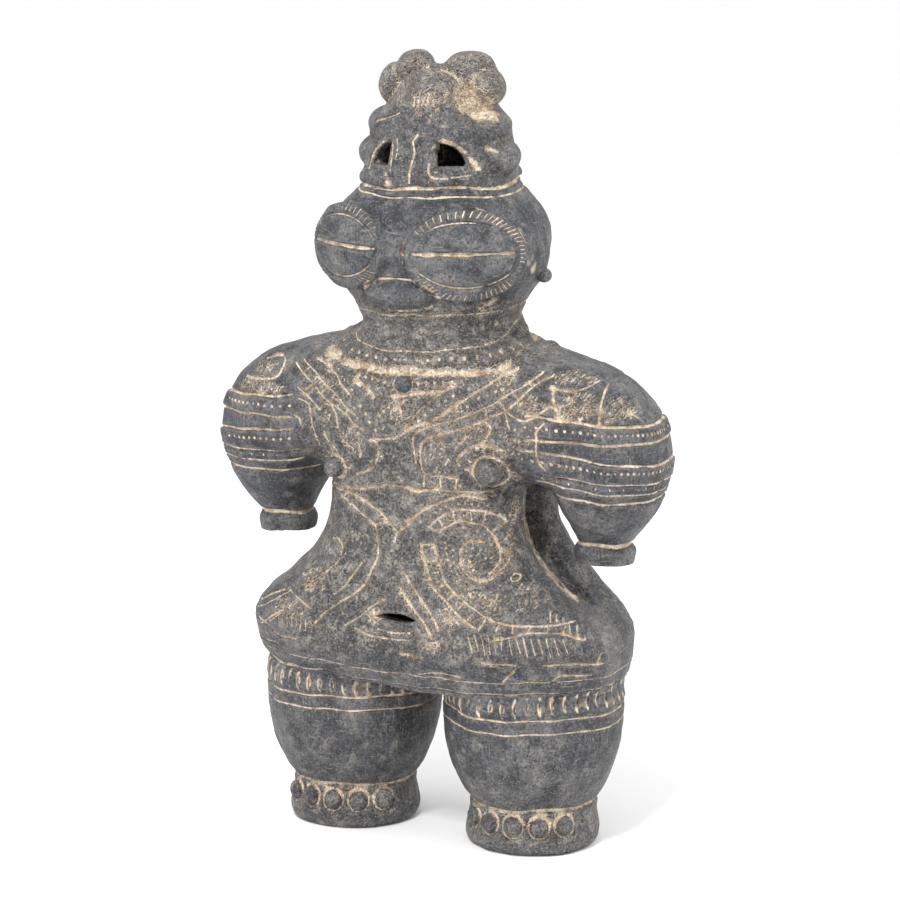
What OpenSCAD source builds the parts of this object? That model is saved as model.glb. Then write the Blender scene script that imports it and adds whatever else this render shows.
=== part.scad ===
// Hollow goggle-eyed clay figure, hand-built from separately formed clay pieces.
// The hollow pieces stand on each other rim to rim, and each joint has a tongue that
// seats inside its neighbour. Straps, knobs, goggles and toes are laid on the skin.
// Millimetres. +Z is up, the figure faces -Y, and its own left is +X.
// The origin is on the ground, in the middle between the feet.

/* [Clay] */
// Thickness of the hollow pieces' walls
wall = 5; // [4:0.5:6]
// Room for slip round each tongue
slip_gap = 0.3; // [0.2:0.1:0.5]
// How far a tongue reaches into its neighbour
tongue_length = 6; // [4:1:8]
// Thickness of the straps laid on the skin
strap_thickness = 1.6; // [1.2:0.2:2.4]

/* [Body] */
// Half width of the hips at their widest
hip_half_width = 91; // [86:1:96]
// Half width of the waist
waist_half_width = 51; // [48:1:54]
// Half width of the head across the goggles
head_half_width = 50; // [47:1:52]
// Distance from the middle to each leg's axis
leg_offset = 47; // [45:1:49]
// Radius of each leg at its widest
leg_radius = 40; // [38:0.5:41]
// Radius of each foot at the ground
foot_radius = 30; // [28:0.5:32]

/* [Goggles] */
// Half length of each goggle
goggle_half_length = 29; // [27:1:30]
// Half height of each goggle
goggle_half_height = 20.5; // [19:0.5:22]

/* [Hidden] */

clay = "dimgray";
worn_clay = "slategray";
ochre_clay = "tan";

// Seams between the hollow pieces
ankle_z = 20;
hem_z = 76;
wrist_z = 144.5;
waist_z = 170;
arm_x = 52;
neck_z = 232;
chin_z = 247;
brow_z = 299;
crown_top_z = 350;

sides = 24;          // points round a loft's ring
steps = 2;           // rings between two ribs
pinch_spread = 0.45; // how much of the flank a pinch takes in
tongue_wall = 3;
seat_depth = 4;      // how far a tongue's root reaches into its own piece
far = 400;

// ---- Lofts -------------------------------------------------------------
// A rib is one ring of a loft: [centre x, centre z, radius vector x, radius vector z,
// front depth, back depth, squareness, pinch]. Its plane holds the radius vector and Y.
// The pinch is how far both flanks are pressed in.
function level(z, half_width, front, back, squareness = 2.3, pinch = 0) =
    [0, z, half_width, 0, front, back, squareness, pinch];
function rib(inner, outer, front, back, squareness = 2.2) =
    let (middle = (inner + outer) / 2, reach = (inner - outer) / 2)
    [middle.x, middle.y, reach.x, reach.y, front, back, squareness, 0];

function catmull(p, i, t) =
    let (
        a = p[max(i - 1, 0)],
        b = p[i],
        c = p[i + 1],
        d = p[min(i + 2, len(p) - 1)]
    )
    b + t * (c - a + t * (2 * a - 5 * b + 4 * c - d + t * (3 * (b - c) + d - a))) / 2;
function refined(ribs) = [
    for (i = [0 : len(ribs) - 2], k = [0 : steps - 1]) catmull(ribs, i, k / steps),
    ribs[len(ribs) - 1]
];

// The same rib, grown outwards by `by`, or shrunk where it is negative.
function grown(r, by) =
    let (reach = norm([r[2], r[3]]), share = (reach + by) / reach)
    [r[0], r[1], r[2] * share, r[3] * share, r[4] + by, r[5] + by, r[6], r[7]];
function all_grown(ribs, by) = [for (r = ribs) grown(r, by)];

// The same rib, moved along its own normal.
function slid(r, by) =
    let (reach = norm([r[2], r[3]]))
    [r[0] - r[3] / reach * by, r[1] + r[2] / reach * by, r[2], r[3], r[4], r[5], r[6], r[7]];
function overlong(ribs, by) = concat(
    [slid(ribs[0], -by)], ribs, [slid(ribs[len(ribs) - 1], by)]
);

function bent(v, squareness) = sign(v) * pow(abs(v), 2 / squareness);
function ring(r) = [
    for (k = [0 : sides - 1])
        let (
            turn = 360 * k / sides,
            pressed = 1 - r[7] * exp(-pow(sin(turn) / pinch_spread, 2)) / norm([r[2], r[3]]),
            c = bent(cos(turn), r[6]) * pressed,
            s = bent(sin(turn), r[6])
        )
        [r[0] + r[2] * c, (s < 0 ? r[4] : r[5]) * s, r[1] + r[3] * c]
];

module loft(ribs) {
    points = [for (r = ribs) each ring(r)];
    last = (len(ribs) - 1) * sides;
    faces = concat(
        [[for (k = [0 : sides - 1]) k]],
        [[for (k = [sides - 1 : -1 : 0]) last + k]],
        [
            for (i = [0 : len(ribs) - 2], k = [0 : sides - 1])
                let (a = i * sides + k, b = i * sides + (k + 1) % sides)
                each [[a, a + sides, b], [b, a + sides, b + sides]]
        ]
    );
    polyhedron(points, faces);
}

// A loft with its hollow, open at both ends.
module hollow_loft(ribs) {
    difference() {
        loft(refined(ribs));
        loft(overlong(refined(all_grown(ribs, -wall)), 1));
    }
}

// The tongue on a seam: it passes the rib's plane backwards along the rib's normal.
module tongue(r, way = 1) {
    difference() {
        union() {
            loft([
                slid(grown(r, 0.5 - wall), way > 0 ? 0 : -seat_depth),
                slid(grown(r, 0.5 - wall), way > 0 ? seat_depth : 0)
            ]);
            loft([
                slid(grown(r, -wall - slip_gap), way > 0 ? -tongue_length : -seat_depth),
                slid(grown(r, -wall - slip_gap), way > 0 ? seat_depth : tongue_length)
            ]);
        }
        loft([
            slid(grown(r, -wall - tongue_wall), -20),
            slid(grown(r, -wall - tongue_wall), 20)
        ]);
    }
}

// Blended clay forms are kept as one mesh.
module clay_form() {
    resize([0, 0, 0]) children();
}

module both_ways(side) {
    if (side > 0) children();
    else mirror([1, 0, 0]) children();
}

// The part of the space between two heights, tilted down towards the front.
module slab(low, high, tilt = 0) {
    rotate([tilt, 0, 0])
        translate([-far / 2, -far / 2, low])
            cube([far, far, high - low]);
}

// ---- Skins: the outer forms --------------------------------------------
waist_rib = level(waist_z, waist_half_width + 2, 43, 40, 2.4, 10);
hip_ribs = [
    level(hem_z, hip_half_width - 7, 42, 44, 2.7),
    level(82, hip_half_width - 2.5, 46, 48, 2.7),
    level(94, hip_half_width, 49, 50, 2.7, 1),
    level(102, hip_half_width - 1, 49, 50, 2.6, 3),
    level(112, hip_half_width - 8, 48, 48, 2.6, 8),
    level(124, hip_half_width - 20, 47, 46, 2.5, 12),
    level(138, waist_half_width + 9, 46, 44, 2.4, 13),
    level(152, waist_half_width + 3, 45, 42, 2.4, 12),
    waist_rib
];
chest_ribs = [
    waist_rib,
    level(180, 54, 43, 40, 2.4, 7),
    level(192, 55, 43, 40, 2.4, 3),
    level(206, 54, 42, 39),
    level(216, 49, 41, 38),
    level(224, 42, 39.5, 37),
    level(neck_z, 36.5, 38.5, 35)
];
shoulder_rib = rib([arm_x, 169], [arm_x, 224], 38, 36);
yoke_ribs = [
    rib([-arm_x, 169], [-arm_x, 224], 38, 36),
    rib([-26, 172], [-26, 229], 41, 39),
    rib([26, 172], [26, 229], 41, 39),
    shoulder_rib
];
arm_ribs = [
    shoulder_rib,
    rib([57, 168], [75, 222.5], 36, 34),
    rib([59, 167], [93, 215], 34, 32),
    rib([60, 166], [106, 202], 32, 30),
    rib([60.5, 164], [111, 186], 30, 29),
    rib([62.5, 157.5], [107.5, 166], 25, 25),
    rib([66, 151], [100, 152.5], 18, 18),
    rib([69.5, wrist_z], [94, wrist_z], 12.5, 12.5)
];
neck_ribs = [
    level(neck_z, 36.5, 38.5, 35),
    level(237, 34, 37, 33),
    level(242, 33.5, 37, 32),
    level(chin_z, 35.5, 38, 32)
];
head_ribs = [
    level(chin_z, 35.5, 38, 32),
    level(254, 42, 40, 33),
    level(263, head_half_width - 2, 42, 34),
    level(273, head_half_width, 43, 34.5),
    level(283, head_half_width, 43, 34.5),
    level(291, head_half_width - 5, 41.5, 34),
    level(brow_z, 36.5, 37, 32)
];
crown_ribs = [
    level(brow_z, 35, 36, 31),
    level(308, 34, 36, 31),
    level(318, 31, 34, 29),
    level(328, 29, 31, 26),
    level(338, 24, 26, 22),
    level(345, 19, 21, 18),
    level(crown_top_z, 8, 10, 9)
];

module torso_skin() {
    loft(refined(chest_ribs));
    loft(refined(yoke_ribs));
}
module arm_skin(extra = 0) {
    loft(refined(all_grown(arm_ribs, extra)));
}
module head_skin(extra = 0) {
    loft(refined(all_grown(head_ribs, extra)));
}
module crown_skin(extra = 0) {
    loft(refined(all_grown(crown_ribs, extra)));
}

// ---- Hollow body pieces -------------------------------------------------
slot_z = 109;
module hip_shell() {
    leg_hole_radius = 33;
    color(clay) clay_form() difference() {
        loft(refined(hip_ribs));
        intersection() {
            loft(overlong(refined(all_grown(hip_ribs, -wall)), 1));
            slab(hem_z + wall, far);
        }
        for (side = [-1, 1])
            translate([side * leg_offset, 0, hem_z - 1])
                cylinder(r = leg_hole_radius, h = wall + 2, $fn = 40);
        // The eye-shaped slot in the front
        translate([0, -hip_half_width / 2, slot_z])
            intersection() {
                translate([0, 0, -13.5]) rotate([90, 0, 0])
                    cylinder(r = 18, h = 90, center = true, $fn = 48);
                translate([0, 0, 29.3]) rotate([90, 0, 0])
                    cylinder(r = 30, h = 90, center = true, $fn = 60);
            }
    }
}

module chest_shell() {
    color(clay) clay_form() {
        difference() {
            intersection() {
                torso_skin();
                translate([-arm_x, -far / 2, waist_z]) cube([2 * arm_x, far, neck_z - waist_z]);
            }
            loft(overlong(refined(all_grown(chest_ribs, -wall)), 1));
            loft(overlong(all_grown(yoke_ribs, -wall), 1));
        }
        tongue(waist_rib);
    }
}

module neck() {
    color(clay) clay_form() {
        hollow_loft(neck_ribs);
        tongue(neck_ribs[0]);
        tongue(neck_ribs[len(neck_ribs) - 1], -1);
    }
}

module nostril() {
    translate([0, -40, 275]) rotate([90, 0, 0]) cylinder(r = 1.4, h = 20, $fn = 16);
}

module head_shell() {
    color(clay) clay_form() difference() {
        head_skin();
        intersection() {
            loft(overlong(refined(all_grown(head_ribs, -wall)), 1));
            slab(0, far);
        }
        nostril();
    }
}

// A window under each crown arch: flat foot, curved top.
module crown_window(angle) {
    rotate([0, 0, angle]) translate([0, 0, 312.5])
        rotate([90, 0, 0]) linear_extrude(60)
            intersection() {
                translate([0, -1]) circle(r = 9, $fn = 32);
                translate([-7, 0]) square([14, 10]);
            }
}
window_angles = [-25, 33, 135, 225];

module crown_shell() {
    color(clay) clay_form() {
        difference() {
            crown_skin();
            difference() {
                loft(overlong(refined(all_grown(crown_ribs, -wall)), 1));
                slab(crown_top_z - wall, far);
            }
            for (angle = window_angles) crown_window(angle);
        }
        tongue(crown_ribs[0]);
    }
}

// ---- Arms ---------------------------------------------------------------
module arm(side) {
    color(clay) clay_form() both_ways(side) {
        hollow_loft(arm_ribs);
        tongue(shoulder_rib);
    }
}
module left_arm() { arm(1); }
module right_arm() { arm(-1); }

hand_x = 81.75;
hand_profile = [[0, 134], [11.8, 134], [13.6, 136.5], [13.4, 140.5], [12.5, wrist_z], [0, wrist_z]];
module hand(side) {
    color(worn_clay) both_ways(side) translate([hand_x, 0, 0]) {
        rotate_extrude($fn = 48) polygon(hand_profile);
        translate([0, 0, wrist_z - 1])
            cylinder(r = 12.25 - wall - slip_gap - 0.6, h = tongue_length, $fn = 48);
    }
}
module left_hand() { hand(1); }
module right_hand() { hand(-1); }

// ---- Legs and feet ------------------------------------------------------
leg_profile = [
    [27.2, ankle_z], [leg_radius - 9, 26], [leg_radius - 4.5, 36], [leg_radius - 1.2, 47],
    [leg_radius, 58], [leg_radius - 0.3, 68], [leg_radius - 1.5, hem_z]
];
foot_profile = [
    [foot_radius - 1.5, 0], [foot_radius, 2.5], [foot_radius - 0.5, 8],
    [foot_radius - 2.2, 14], [27.2, ankle_z]
];
function reversed(p) = [for (i = [len(p) - 1 : -1 : 0]) p[i]];
function smoothed(p) = [
    for (i = [0 : len(p) - 2], k = [0 : 3]) catmull(p, i, k / 4),
    p[len(p) - 1]
];

module leg(side) {
    outer = smoothed(leg_profile);
    top_radius = 33 - slip_gap;
    foot_socket = 27.2 - wall;
    color(clay) translate([side * leg_offset, 0, 0])
        rotate_extrude($fn = 96) union() {
            polygon(concat(outer, [for (p = reversed(outer)) [p.x - wall, p.y]]));
            polygon([
                [top_radius - tongue_wall, hem_z - seat_depth], [leg_radius - 3, hem_z - seat_depth],
                [leg_radius - 3, hem_z], [top_radius, hem_z],
                [top_radius, hem_z + wall], [top_radius - tongue_wall, hem_z + wall]
            ]);
            polygon([
                [foot_socket - tongue_wall, ankle_z - tongue_length],
                [foot_socket - slip_gap, ankle_z - tongue_length],
                [foot_socket - slip_gap, ankle_z], [foot_socket + 2, ankle_z],
                [foot_socket + 2, ankle_z + 3], [foot_socket - tongue_wall, ankle_z + 3]
            ]);
        }
}
module left_leg() { leg(1); }
module right_leg() { leg(-1); }

module foot_form(side, extra = 0, facets = 96) {
    translate([side * leg_offset, 0, 0])
        rotate_extrude($fn = facets)
            polygon(concat(
                [[0, 0]],
                [for (p = smoothed(foot_profile)) [p.x + extra, p.y]],
                [[0, ankle_z]]
            ));
}
module foot(side) {
    color(worn_clay) difference() {
        foot_form(side);
        translate([side * leg_offset, 0, wall])
            cylinder(r = 27.2 - wall, h = ankle_z, $fn = 96);
    }
}
module left_foot() { foot(1); }
module right_foot() { foot(-1); }

toe_count = 5;
toe_step = 24;
toe_turn = 7;   // the toes of both feet sit a little to the figure's left
toe_z = 14.5;
toe_facets = 48;
module toes(side) {
    color(worn_clay) clay_form() difference() {
        intersection() {
            foot_form(side, 1.4, toe_facets);
            translate([side * leg_offset, 0, toe_z])
                for (i = [0 : toe_count - 1])
                    rotate([90, 0, (i - (toe_count - 1) / 2) * toe_step + toe_turn])
                        cylinder(r = 4, h = 60, $fn = 12);
        }
        foot_form(side, 0, toe_facets);
    }
}
module left_toes() { toes(1); }
module right_toes() { toes(-1); }

// ---- Face ---------------------------------------------------------------
goggle_angle = 28;
goggle_at = [28.5, -33.5, 274];
module goggle(side) {
    color(worn_clay) clay_form() difference() {
        both_ways(side)
            translate(goggle_at) rotate([0, 0, goggle_angle])
                scale([goggle_half_length, 9.5, goggle_half_height]) sphere(1, $fn = 24);
        head_skin();
        // The slit across the goggle
        both_ways(side)
            translate(goggle_at) rotate([0, 0, goggle_angle])
                translate([-26, -20, -0.9]) cube([52, 12.5, 1.8]);
        // The two goggles stop either side of the nose
        translate([side > 0 ? -far : 1, -far / 2, 0]) cube([far - 1, far, far]);
        slab(brow_z, far);
    }
}
module left_goggle() { goggle(1); }
module right_goggle() { goggle(-1); }

module mouth_ring() {
    color(worn_clay) clay_form() difference() {
        translate([0, -38, 257]) scale([16.5, 7, 7]) sphere(1, $fn = 28);
        head_skin();
    }
}

module brow_band() {
    color(ochre_clay) clay_form() difference() {
        intersection() {
            union() {
                head_skin(strap_thickness);
                loft(overlong([grown(crown_ribs[0], 4), grown(crown_ribs[1], 1)], 0));
            }
            slab(292, 302);
        }
        head_skin();
        crown_skin();
    }
}

module knob(at, radius, squash = 1) {
    translate(at) scale([1, squash, 1]) sphere(radius, $fn = 18);
}

module ear_knob(side) {
    color(worn_clay) clay_form() difference() {
        both_ways(side) knob([head_half_width - 2.5, 8, 262], 4);
        head_skin();
    }
}
module left_ear_knob() { ear_knob(1); }
module right_ear_knob() { ear_knob(-1); }

// ---- Crown --------------------------------------------------------------
// Each lobe: [x, y, z, radius]
lobes = [
    [30.5, -2, 310, 9.5],
    [27.5, -2, 327, 8.5],
    [21.5, -2, 343, 9.5],
    [11, -2, 350, 10]
];
module crown_lobes(side) {
    color(clay) clay_form() difference() {
        both_ways(side) difference() {
            union() for (l = lobes) knob([l.x, l.y, l.z], l[3]);
            translate([-far, -far / 2, 0]) cube([far, far, far]);
        }
        crown_skin();
        slab(0, 302);
    }
}
module left_crown_lobes() { crown_lobes(1); }
module right_crown_lobes() { crown_lobes(-1); }

module crown_boss(depth, height, squash) {
    clay_form() difference() {
        translate([0, depth, height]) scale([19, squash, 15]) sphere(1, $fn = 24);
        crown_skin();
        for (side = [-1, 1]) both_ways(side)
            union() for (l = lobes) knob([l.x, l.y, l.z], l[3]);
    }
}
module crown_front_boss() { color(worn_clay) crown_boss(-25, 334, 9); }
module crown_back_boss() { color(worn_clay) crown_boss(21, 334, 8); }

// ---- Straps and knobs on the body ----------------------------------------
module neck_joint_skin(extra = 0) {
    loft(refined(all_grown(chest_ribs, extra)));
    loft(refined(all_grown(neck_ribs, extra)));
}
// A strap round the neck, tilted down towards the front.
module necklace(low, high, tilt, thickness) {
    clay_form() difference() {
        intersection() {
            union() {
                neck_joint_skin(thickness);
                loft(refined(all_grown(yoke_ribs, thickness)));
            }
            slab(low, high, tilt);
        }
        neck_joint_skin();
        loft(refined(yoke_ribs));
        for (side = [-1, 1]) both_ways(side) arm_skin();
    }
}
module upper_necklace() { color(worn_clay) necklace(234, 238.5, 8, strap_thickness); }
module lower_necklace() { color(worn_clay) necklace(225, 229.5, 10, strap_thickness); }

module throat_knob() {
    color(worn_clay) clay_form() difference() {
        knob([0, -41, 218], 3.6);
        torso_skin();
        lower_necklace();
    }
}

breast_at = [41, -35, 178.5];
module breast(side) {
    color(worn_clay) clay_form() difference() {
        both_ways(side) knob(breast_at, 7);
        torso_skin();
        loft(refined(hip_ribs));
    }
}
module left_breast() { breast(1); }
module right_breast() { breast(-1); }

module shoulder_knob(side) {
    color(worn_clay) clay_form() difference() {
        both_ways(side) knob([50, 8, 226.5], 4);
        torso_skin();
        lower_necklace();
        upper_necklace();
    }
}
module left_shoulder_knob() { shoulder_knob(1); }
module right_shoulder_knob() { shoulder_knob(-1); }

module armband(side, low, high) {
    color(worn_clay) clay_form() both_ways(side) difference() {
        intersection() {
            arm_skin(strap_thickness);
            slab(low, high);
            translate([62, -far / 2, 0]) cube(far);
        }
        arm_skin();
    }
}
module left_upper_armband() { armband(1, 189, 195); }
module right_upper_armband() { armband(-1, 189, 195); }
module left_lower_armband() { armband(1, 174, 179.5); }
module right_lower_armband() { armband(-1, 174, 179.5); }

module hip_hem() {
    color(worn_clay) clay_form() difference() {
        intersection() {
            loft(refined(all_grown(hip_ribs, strap_thickness)));
            slab(hem_z + 0.5, 83);
        }
        loft(refined(hip_ribs));
    }
}

// Low round knobs along the hips: [x, height, radius]
front_knobs = [[-50, 94, 6], [-13, 91, 6.5], [24, 91, 6.5], [50, 94, 6]];
module hip_knobs() {
    color(worn_clay) clay_form() difference() {
        union() for (k = front_knobs, way = [-1, 1])
            knob([k.x, way * (abs(k.x) > 40 ? 43 : 49), k.y], k[2]);
        loft(refined(hip_ribs));
        hip_hem();
    }
}

module thigh_band(side) {
    color(ochre_clay) difference() {
        translate([side * leg_offset, 0, 66])
            cylinder(r = leg_radius + 1.2, h = 9.8, $fn = 96);
        translate([side * leg_offset, 0, 0])
            rotate_extrude($fn = 96)
                polygon(concat(
                    [[0, ankle_z]], smoothed(leg_profile), [[0, hem_z]]
                ));
    }
}
module left_thigh_band() { thigh_band(1); }
module right_thigh_band() { thigh_band(-1); }

hip_shell();
chest_shell();
neck();
head_shell();
crown_shell();
left_arm();
right_arm();
left_hand();
right_hand();
left_leg();
right_leg();
left_foot();
right_foot();
left_toes();
right_toes();
left_goggle();
right_goggle();
mouth_ring();
brow_band();
left_ear_knob();
right_ear_knob();
left_crown_lobes();
right_crown_lobes();
crown_front_boss();
crown_back_boss();
upper_necklace();
lower_necklace();
throat_knob();
left_breast();
right_breast();
left_shoulder_knob();
right_shoulder_knob();
left_upper_armband();
right_upper_armband();
left_lower_armband();
right_lower_armband();
hip_hem();
hip_knobs();
left_thigh_band();
right_thigh_band();
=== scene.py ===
"""Detailed looks of the hollow goggle-eyed clay figure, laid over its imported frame.

The clay body is built as one distance field in millimetres, so that the pieces flow
into each other like luted clay. The field is meshed, incised, stained and then cut
into one skin per CAD node.
"""
import math

import bpy
import numpy as np
import openvdb as vdb
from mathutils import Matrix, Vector


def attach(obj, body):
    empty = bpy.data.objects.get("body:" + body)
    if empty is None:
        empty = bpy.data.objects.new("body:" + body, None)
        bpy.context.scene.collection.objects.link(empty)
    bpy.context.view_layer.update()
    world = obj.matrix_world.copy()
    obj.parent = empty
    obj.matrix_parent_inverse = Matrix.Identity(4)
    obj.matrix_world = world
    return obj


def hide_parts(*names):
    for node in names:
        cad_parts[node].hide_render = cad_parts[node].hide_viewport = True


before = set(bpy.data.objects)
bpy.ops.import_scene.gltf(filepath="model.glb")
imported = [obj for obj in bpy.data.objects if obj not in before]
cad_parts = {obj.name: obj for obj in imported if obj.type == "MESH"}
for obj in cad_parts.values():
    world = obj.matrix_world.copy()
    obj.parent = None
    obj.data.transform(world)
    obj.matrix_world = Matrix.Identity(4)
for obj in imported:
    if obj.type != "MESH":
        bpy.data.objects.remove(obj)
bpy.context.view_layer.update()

# ---- The field ------------------------------------------------------------
MM_PER_METRE = 1000
VOXEL = 0.9
BAND = 9
LOW = np.array([-115.2, -61.2, -3.0])
SHAPE = (257, 137, 408)
LOFT_SIDES, LOFT_STEPS = 120, 8
AXES = [LOW[i] + VOXEL * np.arange(SHAPE[i]) for i in range(3)]


def level(z, half_width, front, back, squareness=2.3, pinch=0.0, x=0.0, tilt=0.0):
    """A level rib; tilt lowers its left end and raises its right."""
    return (x, z, half_width, -tilt, front, back, squareness, pinch)


def rib(inner, outer, front, back):
    """A rib of the arm, between its inner and its outer side."""
    middle = ((inner[0] + outer[0]) / 2, (inner[1] + outer[1]) / 2)
    reach = ((inner[0] - outer[0]) / 2, (inner[1] - outer[1]) / 2)
    return (*middle, *reach, front, back, 2.2, 0.0)


def catmull(points, per_span):
    """Points along a smooth curve through the given points."""
    p = np.asarray(points, float)
    out = []
    for i in range(len(p) - 1):
        a, b, c, d = p[max(i - 1, 0)], p[i], p[i + 1], p[min(i + 2, len(p) - 1)]
        for t in np.arange(per_span) / per_span:
            out.append(b + t * (c - a + t * (2 * a - 5 * b + 4 * c - d + t * (3 * (b - c) + d - a))) / 2)
    out.append(p[-1])
    return np.array(out)


def loft(ribs, grow=0.0):
    """Closed mesh through the ribs: points and triangles."""
    sides = LOFT_SIDES
    rows = catmull(ribs, LOFT_STEPS)
    turn = np.linspace(0, 2 * math.pi, sides, endpoint=False)
    rings = []
    for cx, cz, rx, rz, front, back, square, pinch in rows:
        reach = math.hypot(rx, rz)
        pressed = 1 - pinch * np.exp(-(np.sin(turn) / 0.3) ** 2) / reach
        share = (reach + grow) / reach
        c = np.sign(np.cos(turn)) * np.abs(np.cos(turn)) ** (2 / square) * pressed * share
        s = np.sign(np.sin(turn)) * np.abs(np.sin(turn)) ** (2 / square)
        y = np.where(s < 0, front + grow, back + grow) * s
        rings.append(np.stack([cx + rx * c, y, cz + rz * c], 1))
    points = np.concatenate(rings + [rings[0].mean(0)[None], rings[-1].mean(0)[None]])
    k = np.arange(sides)
    after = (k + 1) % sides
    faces = []
    for i in range(len(rows) - 1):
        a, b = i * sides + k, i * sides + after
        faces += [np.stack([a, b, a + sides], 1), np.stack([b, b + sides, a + sides], 1)]
    first, last = len(points) - 2, len(points) - 1
    top = (len(rows) - 1) * sides
    faces.append(np.stack([after, k, np.full(sides, first)], 1))
    faces.append(np.stack([top + k, top + after, np.full(sides, last)], 1))
    return points, np.concatenate(faces)


def field_of(ribs, grow=0.0):
    points, faces = loft(ribs, grow)
    grid = vdb.FloatGrid.createLevelSetFromPolygons(
        (points - LOW).astype(np.float32),
        triangles=faces.astype(np.uint32),
        transform=vdb.createLinearTransform(voxelSize=VOXEL),
        halfWidth=float(BAND),
    )
    out = np.empty(SHAPE, np.float32)
    grid.copyToArray(out)
    return out


def blend(a, b, k):
    """The smaller of two fields, with a fillet of about k millimetres."""
    h = np.clip(0.5 + 0.5 * (b - a) / k, 0, 1)
    return b + (a - b) * h - k * h * (1 - h)


def around(centre, reach):
    """The part of the grid within reach of a point, and its local coordinates."""
    part = []
    for i in range(3):
        first = max(int((centre[i] - reach - LOW[i]) / VOXEL), 0)
        part.append(slice(first, min(int((centre[i] + reach - LOW[i]) / VOXEL) + 2, SHAPE[i])))
    shape = [(-1, 1, 1), (1, -1, 1), (1, 1, -1)]
    local = [(AXES[i][part[i]] - centre[i]).reshape(shape[i]) for i in range(3)]
    return tuple(part), local


def ellipsoid(local, radii, turn=0.0):
    x, y, z = local
    c, s = math.cos(math.radians(turn)), math.sin(math.radians(turn))
    u, v = x * c + y * s, y * c - x * s
    k0 = np.sqrt((u / radii[0]) ** 2 + (v / radii[1]) ** 2 + (z / radii[2]) ** 2)
    k1 = np.sqrt((u / radii[0] ** 2) ** 2 + (v / radii[1] ** 2) ** 2 + (z / radii[2] ** 2) ** 2)
    return k0 * (k0 - 1) / np.maximum(k1, 1e-6)


def add(body, centre, radii, turn=0.0, k=2.0):
    part, local = around(centre, max(radii) + 9)
    body[part] = blend(body[part], ellipsoid(local, radii, turn), k)


def cut(body, centre, radii, turn=0.0, k=1.5):
    part, local = around(centre, max(radii) + 6)
    body[part] = -blend(-body[part], ellipsoid(local, radii, turn), k)


# ---- Ribs of the hollow pieces, in millimetres ------------------------------
HEM_Z, WAIST_Z, NECK_Z, CHIN_Z, BROW_Z = 76, 170, 232, 247, 299
ARM_X, ARM_MIDDLE = 52, 84
LEG_X = 46.6
body_ribs = [
    level(HEM_Z, 84, 42, 44, 2.7, tilt=1.6),
    level(82, 88.5, 46, 48, 2.7, tilt=1.4),
    level(94, 91.5, 49, 50, 2.7, 1, tilt=0.8),
    level(102, 91, 49, 50, 2.6, 3),
    level(112, 84.5, 48, 48, 2.6, 7),
    level(124, 71.5, 47, 46, 2.5, 11, x=0.6),
    level(138, 59.5, 46, 44, 2.4, 12, x=1.2),
    level(152, 53, 45, 42, 2.4, 11, x=1.4),
    level(WAIST_Z, 52, 43, 40, 2.4, 9, x=1),
    level(180, 54, 43, 40, 2.4, 7),
    level(192, 55, 43, 40, 2.4, 3),
    level(206, 55, 42, 39),
    level(216, 54, 41, 38),
    level(224, 49, 39.5, 37.5),
    level(NECK_Z, 41, 38.5, 36),
    level(237, 36.3, 37, 34),
    level(242, 34.5, 37, 33),
    level(CHIN_Z, 36, 38, 32),
]
arm_ribs = [
    rib((0, 174), (0, 232), 41, 39),
    rib((26, 172), (26, 232), 41, 39),
    rib((ARM_X, 169), (ARM_X, 230), 38, 36),
    rib((57, 168), (76, 224), 36, 34),
    rib((59, 167), (94, 216), 34, 32),
    rib((60.5, 166), (106.2, 202.5), 32, 30),
    rib((61.5, 164), (110.6, 186), 30, 29),
    rib((64.2, 157.5), (107.8, 166), 25, 25),
    rib((67.5, 151), (100.6, 152.5), 18, 18),
    rib((69.5, 144.5), (94, 144.5), 12.5, 12.5),
    rib((68.2, 140.5), (95.3, 140), 13.6, 13.6),
    rib((69, 135), (94.5, 134.2), 12, 12),
]
head_ribs = [
    level(CHIN_Z - 3, 33, 36, 31),
    level(CHIN_Z + 1, 36.5, 38, 32),
    level(254, 42, 40.5, 33),
    level(263, 48, 43, 34, 2.4),
    level(273, 49.4, 44.5, 34.5, 2.5),
    level(283, 49.4, 44.5, 34.5, 2.5),
    level(291, 45.5, 42.5, 34, 2.4),
    level(BROW_Z - 1, 39.5, 38.5, 33),
    level(BROW_Z + 3, 35, 36, 31),
]
crown_ribs = [
    level(BROW_Z, 35, 36, 31),
    level(304, 33.5, 35.5, 31),
    level(311, 33.5, 35.5, 31),
    level(318, 31.5, 34, 30),
    level(327, 29.5, 33, 29),
    level(334, 25.5, 30.5, 27),
    level(340, 21.5, 26, 23),
    level(346, 16, 18, 17),
    level(351, 8, 9, 9),
]
# Height and radius
leg_rings = [(18, 28), (22, 29.2), (26, 32.2), (36, 36.8), (47, 40), (58, 41.2), (68, 41.2), (78, 40)]
foot_rings = [(0, 27.8), (1.2, 29.2), (3.5, 30.6), (8, 30.6), (14, 29.2), (18, 28.4), (22, 28.4)]


def round_ribs(rings, x):
    return [(x, z, r, 0.0, r, r, 2.0, 0.0) for z, r in rings]


def both(one_side):
    """The field and its mirror image in X."""
    return np.minimum(one_side, one_side[::-1])


body = field_of(body_ribs)
body = blend(body, both(field_of(arm_ribs)), 9)

# The fold down each flank, between the front and the back of the body
FOLD = [(48, 4, 171), (46, 4, 160), (46, 4, 149), (50, 4, 138), (59, 4, 128), (70, 3, 119)]
for point in catmull(FOLD, 5):
    for side in (-1, 1):
        cut(body, (side * point[0], point[1], point[2]), (9.5, 5.5, 7), k=1.6)

body = blend(body, field_of(head_ribs), 5)
legs = blend(field_of(round_ribs(leg_rings, LEG_X)), field_of(round_ribs(foot_rings, LEG_X)), 3)
body = blend(body, both(legs), 2)
crown = field_of(crown_ribs)

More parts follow.
